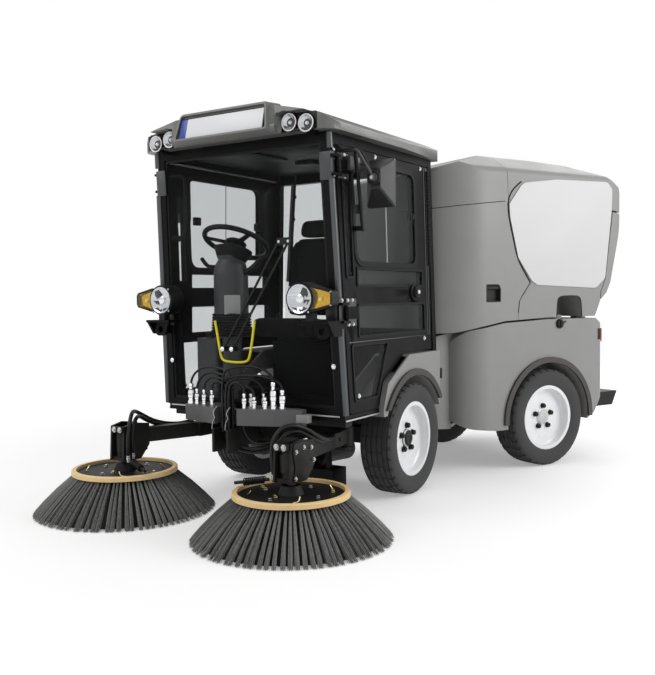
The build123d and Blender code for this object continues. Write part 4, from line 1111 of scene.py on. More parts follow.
@dataclass
class BroomHead:
    """The head that carries a broom: hoses with their fittings, bolts and the spring rod."""

    side: Side
    centre: tuple[float, float] = (530.0, -1050.0)
    hose: float = 10.5
    routes: tuple[tuple[Point, ...], ...] = (((462, -1088, 292), (455, -1094, 360),
        (452, -1086, 440), (474, -1050, 500), (512, -1000, 512), (536, -930, 484),
        (538, -850, 440), (526, -770, 414), (510, -700, 404), (490, -655, 406), (468, -620, 414)),
        ((470, -1048, 300), (466, -1056, 368), (464, -1048, 432), (482, -1014, 474),
        (512, -964, 480), (526, -898, 446), (520, -830, 416), (508, -760, 402), (490, -700, 398),
        (466, -660, 404), (440, -630, 412)),)

    def build(self) -> None:
        """Makes and dresses the head's pieces."""
        word = self.side.value
        body = f"broom_arm_{word}"
        hoses = joined(f"broom_hoses_{word}", [tube(f"hose_{k}", route, self.hose, 8)
            for k, route in enumerate(self.routes)])
        self.rest(hoses, HOSE_RUBBER, body)
        self.rest(self.fittings(f"broom_hose_fittings_{word}"), ZINC, body)
        self.rest(self.bolts(f"broom_head_bolts_{word}"), ZINC, body)
        self.rest(self.spring(f"broom_spring_rod_{word}"), BLACK_ABS, body)
        self.rest(self.plates(f"broom_head_plates_{word}"), CHASSIS_BLACK, body)
        LOG.info("broom head %s", word)

    def rest(self, obj: Piece, finish: Finish, body: str) -> None:
        """Swings a drawn piece to rest and finishes it."""
        obj.data.transform(broom_frame(self.side))
        settle(obj, finish, body, FRONT, self.side)

    def fittings(self, name: str) -> Piece:
        """Crimped ends where the hoses leave the motor, and the clamp on the arm.

        Args:
            name: The piece's name.

        Returns:
            The new piece.
        """
        made = []
        for route in self.routes:
            foot = route[0]
            made.append(turned(name, [(0, -34), (9, -34), (9, -20), (12, -19), (12, -8), (9, -7),
                (10.5, -6), (10.5, 16), (0, 16)], foot, (0, 0, 1), 12))
            made.append(turned(name, [(0, 0), (7.5, 0), (7.5, 46), (0, 46)],
                (foot[0], foot[1], foot[2] - 28), (1, 0, 0), 10))
        return joined(name, made)

    def bolts(self, name: str) -> Piece:
        """Bright bolts on the crossbar and on the slotted cheek.

        Args:
            name: The piece's name.

        Returns:
            The new piece.
        """
        x, y = self.centre
        made = [bolt(name, (x - 34, y - 60, 424), (0, -1, 0), 11, 7),
            bolt(name, (x + 8, y - 60, 424), (0, -1, 0), 11, 7)]
        for dy, z in ((-28, 404), (30, 418), (-34, 284), (86, 410), (104, 350)):
            made.append(bolt(name, (x + 53, y + dy, z), (1, 0, 0), 8, 6))
        return joined(name, made)

    def plates(self, name: str) -> Piece:
        """The slotted outer cheek and the crossbar of the head.

        Args:
            name: The piece's name.

        Returns:
            The new piece.
        """
        x, y = self.centre
        cheek_spot = Matrix(((0, 0, 1, (x + 46.5) * MM), (1, 0, 0, y * MM), (0, 1, 0, 0),
            (0, 0, 0, 1)))
        cheek = plate(name, [(-48, 268), (34, 268), (52, 330), (112, 336), (118, 428), (20, 446),
            (-40, 440), (-46, 400), (-30, 330)], 5, cheek_spot, 12)
        bar_piece = block(name, (x - 52, y - 60, 408), (x + 34, y - 48, 440), 3)
        motor = turned(name, [(0, 262), (30, 262), (34, 268), (34, 300), (44, 304), (44, 384),
            (40, 392), (30, 396), (0, 396)], (x - 6, y - 2, 0), (0, 0, 1), 28)
        stem = turned(name, [(0, 205), (20, 205), (20, 262), (26, 264), (0, 264)], (x, y, 0),
            (0, 0, 1), 20)
        return joined(name, [cheek, bar_piece, motor, stem])

    def spring(self, name: str) -> Piece:
        """A threaded rod in its coil spring, out past the ring on the inner side.

        Args:
            name: The piece's name.

        Returns:
            The new piece.
        """
        x, y = self.centre
        start = Vector((x - 95, y - 40, 268))
        end = Vector((x - 255, y - 95, 243))
        rod_line = tube(name, [start, start.lerp(end, 0.5), end], 8, 8)
        turns = 10
        run = end - start
        across = run.cross(Vector((0, 0, 1))).normalized()
        upright = across.cross(run).normalized()
        coil = []
        for step in range(turns * 8 + 1):
            share = 0.12 + 0.62 * step / (turns * 8)
            angle = 2 * math.pi * step / 8
            coil.append(start + run * share + across * 16 * math.cos(angle) + upright * 16
                * math.sin(angle))
        return joined(name, [rod_line, tube(name, coil, 3.2, 4)])


# ---- hydraulic front ----
@dataclass
class Couplings:
    """Plugs on the two consoles, and the hoses that arch from them into one bundle."""

    console_top: float = 548.0
    hose: float = 6.0
    plugs: tuple[tuple[float, float, float, bool], ...] = ((-269, -850, 105, True),
        (-225, -855, 80, False), (-173, -860, 78, False), (-121, -860, 78, False),
        (103, -882, 75, False), (108, -832, 70, False), (150, -862, 58, False),
        (176, -818, 72, False), (207, -850, 58, False), (243, -830, 132, True),
        (283, -810, 95, True))
    droops: tuple[tuple[Point, ...], ...] = (((-50, -862, 520), (-52, -862, 450),
        (-40, -856, 385), (10, -842, 338), (80, -824, 318), (150, -802, 322), (200, -780, 348),
        (226, -752, 380), (230, -716, 388)), ((-34, -868, 520), (-36, -868, 460),
        (-22, -864, 400), (26, -850, 356), (92, -832, 338), (158, -810, 342), (206, -788, 364),
        (224, -756, 394), (216, -716, 400)), ((70, -856, 500), (76, -856, 440), (96, -850, 396),
        (132, -838, 372), (176, -816, 366), (210, -790, 382), (222, -756, 408), (206, -716, 412)))
    lanes: tuple[tuple[int, float, float, float], ...] = ((0, 24, -872, 740), (1, 8, -872, 712),
        (2, -8, -872, 690), (3, -24, -872, 668), (4, 20, -900, 672), (6, 10, -888, 655),
        (7, 0, -900, 690), (9, -20, -900, 752), (10, -34, -886, 706))

    def build(self) -> None:
        """Makes and dresses plugs and hoses."""
        rings = joined("coupling_rings", (ring for plug in self.plugs
            for ring in self.rings(*plug)))
        settle(rings, SEAL_RUBBER, "front_unit")
        settle(joined("drooping_hoses", [tube("hose", path, 8.5, 8) for path in self.droops]),
            HOSE_RUBBER, "front_unit")
        plugs = joined("coupling_plugs", [self.plug(*plug) for plug in self.plugs])
        settle(plugs, CHROME, "front_unit")
        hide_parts("hydraulic_couplings")
        lines = [self.line(*lane) for lane in self.lanes]
        settle(joined("coupling_hoses", lines), HOSE_RUBBER, "front_unit")
        LOG.info("couplings")

    def plug(self, x: float, y: float, height: float, wide: bool) -> Piece:
        """One quick coupling: hexagon foot, knurled sleeve, neck and cap.

        Args:
            x: Its place to the left.
            y: Its place rearwards.
            height: How tall it stands.
            wide: Whether it is one of the large ones.

        Returns:
            The new piece.
        """
        k = 1.35 if wide else 1.0
        foot = turned("plug", [(0, 0), (13 * k, 0), (13 * k, height * 0.14),
            (11 * k, height * 0.17), (0, height * 0.17)], (x, y, self.console_top), (0, 0, 1), 6)
        sleeve = turned("plug", [(0, height * 0.17), (9.5 * k, height * 0.17),
            (9.5 * k, height * 0.3), (12 * k, height * 0.32), (12 * k, height * 0.62),
            (10.5 * k, height * 0.66), (10.5 * k, height * 0.7), (7 * k, height * 0.74),
            (7 * k, height * 0.84), (9 * k, height * 0.86), (9 * k, height * 0.97),
            (7 * k, height), (0, height)], (x, y, self.console_top), (0, 0, 1), 20)
        return joined("plug", [foot, sleeve])

    def rings(self, x: float, y: float, height: float, wide: bool) -> list[Piece]:
        """Dark grooves and the hose's socket on one coupling.

        Args:
            x: Its place to the left.
            y: Its place rearwards.
            height: How tall it stands.
            wide: Whether it is one of the large ones.

        Returns:
            The new pieces.
        """
        k = 1.35 if wide else 1.0
        made = []
        for share, radius, tall in ((0.31, 11.2, 2.4), (0.47, 12.4, 1.8), (0.68, 11.0, 3.0),
                (0.85, 8.6, 2.2)):
            low = height * share
            made.append(turned("coupling_rings", [(2, low), (radius * k, low),
                (radius * k, low + tall), (2, low + tall)], (x, y, self.console_top), (0, 0, 1),
                16))
        return made

    def line(self, number: int, lane_x: float, lane_y: float, crest: float) -> Piece:
        """One hose: up from its plug, over, and down in the bundle.

        Args:
            number: The hose's number.
            lane_x: Its lane's place to the left.
            lane_y: Its lane's place rearwards.
            crest: The loop's highest point.

        Returns:
            The new piece.
        """
        x, y, height, _wide = self.plugs[number]
        top = self.console_top + height
        lean = (x - lane_x) * 0.25
        points = [(x, y, top - 4), (x, y, top + 30), (x - lean, (y * 3 + lane_y) / 4, crest),
            ((x + lane_x) / 2 - lean * 0.4, (y + lane_y) / 2, crest + 6),
            (lane_x + lean * 0.3, lane_y, crest - 10), (lane_x, lane_y, crest - 70),
            (lane_x, lane_y, 540), (lane_x, lane_y, 470), (lane_x, lane_y, 426)]
        return tube("hose", points, self.hose, 6)


# ---- where blanks lie ----
def flank(x: float) -> Matrix:
    """A blank's frame on an upright fore-and-aft plane: first axis aft, second up."""
    return Matrix(((0, 0, 1, x * MM), (1, 0, 0, 0), (0, 1, 0, 0), (0, 0, 0, 1)))


def facing(y: float) -> Matrix:
    """A blank's frame on an upright crosswise plane: first axis to the left, second up."""
    return Matrix(((1, 0, 0, 0), (0, 0, -1, y * MM), (0, 1, 0, 0), (0, 0, 0, 1)))


def level(z: float) -> Matrix:
    """A blank's frame that lies flat: first axis to the left, second aft."""
    return Matrix.Translation((0, 0, z * MM))


def sloped(foot: tuple[float, float], top: tuple[float, float]) -> Matrix:
    """A blank's frame on a plane that leans in y and z, its origin at the foot.

    Args:
        foot: y and z of the plane's foot.
        top: y and z of a point above it.

    Returns:
        The frame, drawn out towards the front.
    """
    rise = (Vector(top) - Vector(foot)).normalized()
    return Matrix(((1, 0, 0, 0), (0, rise.x, -rise.y, foot[0] * MM),
        (0, rise.y, rise.x, foot[1] * MM), (0, 0, 0, 1)))


# The windscreen and the doors stand on the sill and lean in towards the roof, in millimetres.
SILL = 515.0
RISE = 1357.0
SCREEN_FOOT, SCREEN_RUN = -700.0, 76.0
SIDE_FOOT, SIDE_RUN = 572.0, 30.0
SCREEN = sloped((SCREEN_FOOT, SILL), (SCREEN_FOOT - SCREEN_RUN, SILL + RISE))
BROW = sloped((-893.0, 1938.0), (-879.0, 1995.0))
FOOT = Matrix.Translation((SIDE_FOOT * MM, 0, SILL * MM))
LEAN = FOOT @ Matrix.Rotation(-math.atan2(SIDE_RUN, RISE), 4, "Y") @ FOOT.inverted()


def screen_y(z: float) -> float:
    """How far forward the windscreen's face stands at a height."""
    return SCREEN_FOOT - SCREEN_RUN * (z - SILL) / RISE


def carved(name: str, node: Piece, cutters: Sequence[Piece]) -> Piece:
    """A copy of a carried-over solid with pieces cut out of it.

    Args:
        name: The new object's name.
        node: The solid.
        cutters: What is taken away; they don't outlive the cut.

    Returns:
        The new object.
    """
    obj = copy_of(node, Matrix.Identity(4))
    obj.data.materials.clear()
    take(obj)
    open_mesh()
    bpy.ops.mesh.remove_doubles(threshold=0.00002)
    bpy.ops.object.mode_set(mode="OBJECT")
    for cutter in cutters:
        bpy.ops.object.modifier_add(type="BOOLEAN")
        cut = obj.modifiers[-1]
        cut.operation = "DIFFERENCE"
        cut.solver = "EXACT"
        cut.object = cutter
        bpy.ops.object.modifier_apply(modifier=cut.name)
        bpy.data.objects.remove(cutter)
    return named(name)


def refitted(obj: Piece, finish: Finish, body: str, node: str) -> Piece:
    """Dresses a carved copy and puts it in its solid's stead.

    Args:
        obj: The carved copy.
        finish: What it is made of.
        body: The body it moves with.
        node: The solid that it replaces.

    Returns:
        The piece.
    """
    take(obj)
    obj.data.materials.append(finish.material())
    bpy.ops.object.shade_smooth_by_angle(angle=math.radians(30))
    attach(obj, body)
    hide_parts(node)
    return obj


def knives(*boxes: tuple[Point, Point]) -> list[Piece]:
    """Blocks of the front unit's frame that carved() cuts away."""
    made = [block("cutter", low, high, 0.2, 1) for low, high in boxes]
    for cutter in made:
        cutter.data.transform(FRONT.matrix())
    return made


def dressed(obj: Piece, finish: Finish) -> Piece:
    """Gives a part of a piece its own finish before it is joined to the rest."""
    obj.data.materials.append(finish.material())
    return obj


def ring_of(name: str, outline: Outline, width: float, thickness: float, spot: Matrix,
        corner: float = 0.0) -> Piece:
    """A flat ring that follows an outline: a seal, a frame or a bead.

    Args:
        name: The object's name.
        outline: Points of its outer edge in millimetres, anticlockwise.
        width: Width of the ring.
        thickness: Millimetres drawn out towards the front.
        spot: Where its own frame lies, in metres.
        corner: Corner radius.

    Returns:
        The new object.
    """
    obj = blank(name, outline, corner)
    bpy.ops.mesh.select_mode(type="FACE")
    bpy.ops.mesh.select_all(action="SELECT")
    bpy.ops.mesh.inset(thickness=width * MM, depth=0)
    bpy.ops.mesh.delete(type="FACE")
    bpy.ops.mesh.select_all(action="SELECT")
    pull((0, 0, thickness * MM))
    shut()
    set_down(obj, spot)
    return obj


# ---- roof ----
@dataclass
class Roof:
    """The roof with its light pockets, the framed brow with its blank plate, and the lights."""

    node: Piece
    lights: tuple[tuple[float, float], ...] = ((378.0, 1916.0), (474.0, 1903.0))
    light_radius: float = 44.0
    face: float = -852.0
    plate: tuple[float, float] = (520.0, 110.0)
    band: float = 42.0

    def build(self) -> None:
        """Makes and dresses the roof's pieces."""
        refitted(self.shell(), ROOF_GREY_PAINTED_SHADE, "front_unit", "cab_roof")
        settle(self.brow(), ROOF_GREY_PAINTED_SHADE, "front_unit", angle=40)
        half, high = self.plate[0] / 2, self.plate[1] / 2
        holder = dressed(plate("plate_holder", [(-half - 6, -high - 5), (half + 6, -high - 5),
            (half + 6, high + 5), (-half - 6, high + 5)], 5, BROW @ level(3), 5), BLACK_ABS)
        sheet = dressed(plate("plate_sheet", [(self.band - half, -high), (half, -high),
            (half, high), (self.band - half, high)], 2.5, BROW @ level(8), 5, 0.6), PLATE_WHITE)
        band = dressed(plate("plate_band", [(-half, -high), (self.band - half, -high),
            (self.band - half, high), (-half, high)], 2.5, BROW @ level(8), 5, 0.6), PLATE_BLUE)
        whole = joined("blank_number_plate", [holder, sheet, band])
        settle(whole, PLATE_WHITE, "front_unit")
        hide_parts("number_plate")
        lamps = []
        for x, z in self.lights:
            lamps.append(self.lamp("work_light", x, z))
            lamps.append(copy_of(lamps[-1], MIRROR))
        whole = joined("round_work_lights", lamps)
        settle(whole, BLACK_ABS, "front_unit")
        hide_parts("work_lights")
        for side in Side:
            word = side.value
            settle(self.pocket(f"light_pocket_{word}"), BLACK_ABS, "front_unit", side=side)
        LOG.info("roof")

    def shell(self) -> Piece:
        """The moulded roof with a hollow for each pair of lights."""
        return carved("roof_shell", self.node, knives(((326, -960, 1850), (532, -842, 1961)),
            ((-532, -960, 1850), (-326, -842, 1961))))

    def brow(self) -> Piece:
        """A raised frame round the plate: a tapered blank with a pocket sunk in it.

        Returns:
            The new piece.
        """
        lay_down()
        bpy.ops.mesh.primitive_circle_add(vertices=4, radius=1, fill_type="NGON")
        obj = named("plate_brow")
        corners = ((-345, -64), (345, -64), (318, 92), (-318, 92))
        for vertex, (u, v) in zip(obj.data.vertices, corners):
            vertex.co = (u * MM, v * MM, -40 * MM)
        open_mesh()
        bpy.ops.mesh.bevel(offset=22 * MM, segments=4, affect="VERTICES")
        bpy.ops.mesh.select_mode(type="FACE")
        bpy.ops.mesh.select_all(action="SELECT")
        pull((0, 0, 50 * MM))
        bpy.ops.transform.resize(value=(0.86, 0.95, 1), center_override=(0, 0, 10 * MM))
        pull((0, 0, 6 * MM))
        bpy.ops.transform.resize(value=(0.985, 0.93, 1), center_override=(0, 0.009, 16 * MM))
        bpy.ops.mesh.inset(thickness=9 * MM, depth=0)
        pull((0, 0, -13.5 * MM))
        shut()
        set_down(obj, BROW)
        return obj

    def lamp(self, name: str, x: float, z: float) -> Piece:
        """One round lamp: a cup, a bright bezel, a reflector, a bulb and a clear lens.

        Args:
            name: The piece's name.
            x: Its place to the left.
            z: Its height.

        Returns:
            The new piece.
        """
        spot, way = (x, self.face, z), (0, -1, 0)
        r = self.light_radius
        cup = dressed(turned(name, [(r - 6, -70), (r, -62), (r, 4), (r - 2, 6), (r - 6, 6),
            (r - 8, -6)], spot, way, 36), BLACK_ABS)
        bezel = dressed(turned(name, [(r - 7, 3), (r - 1.5, 4), (r - 1.5, 7.5), (r - 5, 9),
            (r - 8, 6)], spot, way, 36), LAMP_WHITE)
        bowl = dressed(turned(name, [(0, -17), (r - 8, -17), (r - 8, 5), (28, -4), (18, -11),
            (9, -14), (0, -14)], spot, way, 36), REFLECTOR)
        bulb = dressed(turned(name, [(0, -14), (9, -14), (9, -2), (5, 3), (0, 4)], spot, way, 16),
            LAMP_WHITE)
        lens = dressed(turned(name, [(r - 8, 6), (r * 0.6, 9.5), (r * 0.3, 11.5), (0, 12)], spot,
            way, 36), LENS_CLEAR)
        return joined(name, [cup, bezel, bowl, bulb, lens])

    def pocket(self, name: str) -> Piece:
        """The dark hollow of the brow behind a pair of lights, and their brackets."""
        back = plate(name, [(326, 1874), (530, 1874), (528, 1956), (326, 1959)], 3, facing(-840),
            10)
        bracket = block(name, (340, -856, 1872), (516, -846, 1882), 2)
        return joined(name, [back, bracket])


# ---- cab ----
@dataclass
class CabBody:
    """Seals, strips, bolts and handles on the cab's fixed frame."""

    strip_radius: float = 15.0
    handle_radius: float = 8.0

    def build(self) -> None:
        """Makes and dresses the fixed cab's pieces."""
        seal = ring_of("screen_seal", [(-526, 34), (526, 34), (498, 1314), (-498, 1314)], 14, 5,
            SCREEN @ level(-11), 20)
        settle(seal, SEAL_RUBBER, "front_unit")
        for side in Side:
            word = side.value
            settle(self.corner_strip(f"corner_strip_{word}"), GREY_STRIP_AND_HIGHLIGHT, "front_unit", side=side)
            settle(self.post_plates(f"post_plates_{word}"), PLATE_GREY, "front_unit", side=side)
            settle(self.post_bolts(f"post_bolts_{word}"), CHROME, "front_unit", side=side)
            settle(block(f"rail_bead_{word}", (496, -680, 1824), (499, 250, 1829), 0.8),
                STRIP_PALE, "front_unit", side=side)
            settle(block(f"step_edge_{word}", (571, -690, 487), (576, -362, 495), 1), STRIP_PALE,
                "front_unit", side=side)
        handle = tube("grab_handle", [(500, -738, 1752), (470, -718, 1752), (424, -700, 1746),
            (418, -700, 1700), (420, -700, 1500), (426, -700, 1432), (470, -712, 1420),
            (506, -728, 1420)], self.handle_radius, 12)
        settle(handle, BLACK_ABS, "front_unit", side=Side.RIGHT)
        settle(block("front_step_edge", (-545, -703, 508), (545, -699, 515), 1), STRIP_PALE,
            "front_unit")
        trim = tube("front_trim_loop", [(-190, -744, 976), (-176, -742, 900), (-160, -740, 800),
            (-146, -739, 768), (-100, -738, 762), (-40, -738, 760), (14, -739, 766),
            (32, -740, 790), (52, -742, 880), (70, -744, 976)], 6.5, 12)
        settle(trim, SIGNAL_YELLOW, "front_unit")
        settle(self.roof_liner(), SEAL_RUBBER, "front_unit")
        LOG.info("cab shell")

    def corner_strip(self, name: str) -> Piece:
        """The rounded extrusion down the front corner, broken at the hinges.

        Args:
            name: The piece's name.

        Returns:
            The new piece.
        """
        # The grey finish on this bar is a painted highlight on the black powder-coated corner post.
        made = []
        for low, high in ((520, 940), (1088, 1648), (1792, 1868)):
            share = [(z - SILL) / RISE for z in (low, high)]
            path = [(574 - 30 * s + 2, -696 - 76 * s, z) for s, z in zip(share, (low, high))]
            path.insert(1, tuple((a + b) / 2 for a, b in zip(*path)))
            made.append(tube(name, path, self.strip_radius, 14))
        return joined(name, made)

    def post_plates(self, name: str) -> Piece:
        """The hinge carriers that wrap the post's front.

        Args:
            name: The piece's name.

        Returns:
            The new piece.
        """
        made = []
        for low, high in ((1132, 1264), (434, 568)):
            made.append(plate(name, [(492, low), (554, low), (554, high), (492, high)], 5,
                SCREEN @ level(1), 4))
            mid = (low + high) / 2 + SILL
            side_x = SIDE_FOOT - SIDE_RUN * (mid - SILL) / RISE
            front = screen_y(mid)
            made.append(block(name, (side_x - 1, front + 2, low + 513),
                (side_x + 4, front + 42, high + 517), 1.5))
        return joined(name, made)

    def post_bolts(self, name: str) -> Piece:
        """Bright bolts on the carriers and lower down the post.

        Args:
            name: The piece's name.

        Returns:
            The new piece.
        """
        made = []
        for y, z, x in ((-738, 1788, 548), (-734, 1668, 551), (-702, 1076, 564), (-698, 952, 567)):
            made.append(bolt(name, (x, y, z), (1, 0, 0), 7, 5))
        made.append(bolt(name, (522, -716, 757), (0, -1, 0), 9, 6))
        return joined(name, made)

    def roof_liner(self) -> Piece:
        """The moulded ceiling with its two raised fields and the lamp between them.

        Returns:
            The new piece.
        """
        made = [block("roof_liner", (-470, -690, 1856), (470, 270, 1868), 6)]
        for low, high in ((-440, -30), (30, 440)):
            made.append(block("roof_liner", (low, -640, 1846), (high, -280, 1860), 8, 3))
        made.append(block("roof_liner", (-60, -180, 1838), (60, -100, 1860), 6, 3))
        return joined("roof_liner", made)


@dataclass
class CabDoor:
    """A door's window frames, latches, lock, hinge leaves, bolts and mirror fittings."""

    side: Side
    node: Piece
    face: float = 572.0
    bands: tuple[tuple[tuple[float, float], ...], ...] = (((-540, 1150), (170, 1150), (170, 1230),
        (-540, 1230)), ((-540, 896), (190, 896), (190, 1048), (-540, 1048)))
    frames: tuple[tuple[tuple[tuple[float, float], ...], float], ...] = (
        (((-563, 1242), (120, 1242), (120, 1782), (-590, 1782)), 74.0),
        (((-650, 1180), (-572, 1180), (-588, 1660), (-672, 1660)), 14.0),
        (((-550, 1141), (180, 1141), (180, 1239), (-550, 1239)), 14.0),
        (((-550, 887), (200, 887), (200, 1057), (-550, 1057)), 18.0),
        (((-603, 571), (-370, 571), (-240, 859), (-622, 859)), 18.0),)

    def build(self) -> None:
        """Makes and dresses the door's pieces."""
        word = self.side.value
        refitted(self.skin(f"glazed_door_{word}"), BLACK_POWDER, f"door_{word}", f"door_{word}")
        self.rest(self.band_panes(f"waist_panes_{word}"), DOOR_GLASS)
        self.rest(self.window_frames(f"window_frames_{word}"), SEAL_RUBBER)
        self.rest(self.latches(f"window_latches_{word}"), BLACK_ABS)
        self.rest(self.leaves(f"hinge_leaves_{word}"), PLATE_GREY)
        self.rest(self.bolts(f"door_bolts_{word}"), CHROME)
        self.rest(self.lock(f"door_lock_{word}"), BLACK_ABS)
        self.rest(self.lines(f"door_lines_{word}"), GREY_STRIP_AND_HIGHLIGHT)
        self.rest(self.pane_edge(f"pane_edge_{word}"), STRIP_PALE)
        self.rest(self.edge_guard(f"edge_guard_{word}"), SEAL_RUBBER)
        self.rest(self.pole(f"mirror_pole_{word}"), BLACK_ABS, False)
        self.rest(self.mirror_parts(f"mirror_parts_{word}"), BLACK_ABS, False)
        LOG.info("door %s", word)

    def rest(self, obj: Piece, finish: Finish, leans: bool = True) -> None:
        """Leans a piece with the cab's side and lets it swing with the door."""
        if leans:
            obj.data.transform(LEAN)
        settle(obj, finish, f"door_{self.side.value}", FRONT, self.side)

    def skin(self, name: str) -> Piece:
        """The door's steel with two glazed bands cut in it, over and under the waist bar.

        Args:
            name: The piece's name.

        Returns:
            The new piece.
        """
        cutters = []
        for outline in self.bands:
            cutter = plate("cutter", outline, 60, flank(self.face - 45), 12, 0)
            cutter.data.transform(LEAN)
            if self.side is Side.RIGHT:
                cutter.data.transform(MIRROR)
                cutter.data.flip_normals()
            cutter.data.transform(FRONT.matrix())
            cutters.append(cutter)
        return carved(name, self.node, cutters)

    def band_panes(self, name: str) -> Piece:
        """The panes of the two bands."""
        return joined(name, [plate(name, outline, 6, flank(self.face - 14), 12, 0)
            for outline in self.bands])

    def window_frames(self, name: str) -> Piece:
        """Rubber and frame round every pane, outside and in.

        Args:
            name: The piece's name.

        Returns:
            The new piece.
        """
        made = []
        for number, (outline, corner) in enumerate(self.frames):
            width = 26 if number == 0 else 12
            made.append(ring_of(name, outline, width, 5, flank(self.face), corner))
            made.append(ring_of(name, outline, width, 5, flank(self.face - 33), corner))
        return joined(name, made)

    def pane_edge(self, name: str) -> Piece:
        """The polished edge of the sliding pane."""
        return block(name, (self.face - 12, -214, 1262), (self.face - 6, -210, 1768), 1, 1)

    def edge_guard(self, name: str) -> Piece:
        """A ribbed rubber guard down the door's rear edge.

        Args:
            name: The piece's name.

        Returns:
            The new piece.
        """
        profile = [(0.5, 0.0)]
        for number in range(30):
            z = number * 18.0
            profile += [(7, z), (12, z + 4), (12, z + 12), (7, z + 16)]
        profile.append((0.5, 30 * 18.0))
        return turned(name, profile, (self.face + 6, 262, 1262), (0, 0, 1), 10)

    def latches(self, name: str) -> Piece:
        """Finger catches of the sliding pane, inside and out.

        Args:
            name: The piece's name.

        Returns:
            The new piece.
        """
        made = []
        for low, high in ((-500, -456), (66, 112)):
            made.append(block(name, (self.face - 32, low, 1506), (self.face - 2, high, 1552), 5, 3))
            made.append(block(name, (self.face - 6, low + 12, 1516),
                (self.face + 4, high - 12, 1542), 4, 3))
        return joined(name, made)

    def leaves(self, name: str) -> Piece:
        """The hinge leaves on the door's skin.

        Args:
            name: The piece's name.

        Returns:
            The new piece.
        """
        made = []
        for low, high, front in ((950, 1084, -662), (1660, 1784, -700)):
            made.append(block(name, (self.face - 1, front, low), (self.face + 4, front + 96,
                high), 1.5))
        made.append(block(name, (self.face + 2, -648, 1700), (self.face + 44, -556, 1768), 4, 2))
        return joined(name, made)

    def bolts(self, name: str) -> Piece:
        """Bright bolts of the leaves and of the door's corners.

        Args:
            name: The piece's name.

        Returns:
            The new piece.
        """
        made = []
        for y, z in ((-604, 1076), (-600, 958), (-640, 1776), (-636, 1668), (-648, 1076),
                (-644, 958)):
            made.append(bolt(name, (self.face + 4, y, z), (1, 0, 0), 6.5, 5))
        for y, z in ((186, 852), (186, 1806), (-560, 601), (-330, 1806)):
            made.append(bolt(name, (self.face, y, z), (1, 0, 0), 8.5, 6))
        return joined(name, made)

    def lock(self, name: str) -> Piece:
        """The round lock: a collar, a finger grip and a bright barrel with its pointer.

        Args:
            name: The piece's name.

        Returns:
            The new piece.
        """
        spot = (self.face + 30, 56, 1113)
        collar = dressed(turned(name, [(0, -28), (44, -28), (44, -16), (40, -12), (36, -11),
            (36, 2), (32, 5), (24, 4), (22, -4), (0, -4)], spot, (1, 0, 0), 40), BLACK_ABS)
        grip = dressed(plate(name, [(34, 1098), (78, 1098), (86, 1113), (78, 1128), (34, 1128),
            (26, 1113)], 9, flank(self.face + 30), 3), BLACK_ABS)
        barrel = dressed(turned(name, [(0, 0), (13, 0), (13, 11), (11, 13), (0, 13)], spot,
            (1, 0, 0), 6), CHROME)
        pointer = dressed(drawn(name, [(self.face + 16, 92, 1113), (self.face + 16, 112, 1113)],
            (3, 2), 8), CHROME)
        return joined(name, [collar, grip, barrel, pointer])

    def lines(self, name: str) -> Piece:
        """Beads down the door's rear edge and the waist."""
        made = [block(name, (self.face - 1, y, 870), (self.face + 3, y + 7, 1815), 1.5)
            for y in (226, 250)]
        made.append(block(name, (self.face - 1, -640, 866), (self.face + 2, 205, 871), 0.8))
        return joined(name, made)

    def pole(self, name: str) -> Piece:
        """The upright pole beside the hinge that steadies the mirror's arm.

        Args:
            name: The piece's name.

        Returns:
            The new piece.
        """
        line = tube(name, [(592, -612, 1806), (594, -606, 1780), (597, -590, 1640),
            (603, -566, 1440), (604, -562, 1412)], 9, 12)
        foot = block(name, (552, -574, 1414), (612, -548, 1438), 3)
        brace = tube(name, [(592, -612, 1796), (610, -622, 1800), (640, -628, 1780),
            (664, -608, 1720), (676, -592, 1672)], 7, 12)
        return joined(name, [line, foot, brace])

    def mirror_parts(self, name: str) -> Piece:
        """The mirror's glass with its rim, and the round clamp behind its housing.

        Args:
            name: The piece's name.

        Returns:
            The new piece.
        """
        back = Matrix.Translation((0.6625, -0.473, 1.645)) @ Matrix.Rotation(math.pi, 4,
            "Z") @ facing(0)
        glass = dressed(plate(name, [(-70, -109), (70, -109), (70, 109), (-70, 109)], 1.5,
            back @ level(-0.4), 12), MIRROR_GLASS)
        rim = dressed(ring_of(name, [(-78, -117), (78, -117), (78, 117), (-78, 117)], 8, 4, back,
            16), BLACK_ABS)
        clamp = dressed(turned(name, [(20, -6), (34, -6), (36, 2), (34, 10), (20, 10), (18, 2)],
            (680, -582, 1661), (0, -1, 0), 32), BLACK_ABS)
        screw = dressed(bolt(name, (680, -604, 1661), (0, -1, 0), 9, 8), ZINC)
        return joined(name, [glass, rim, clamp, screw])


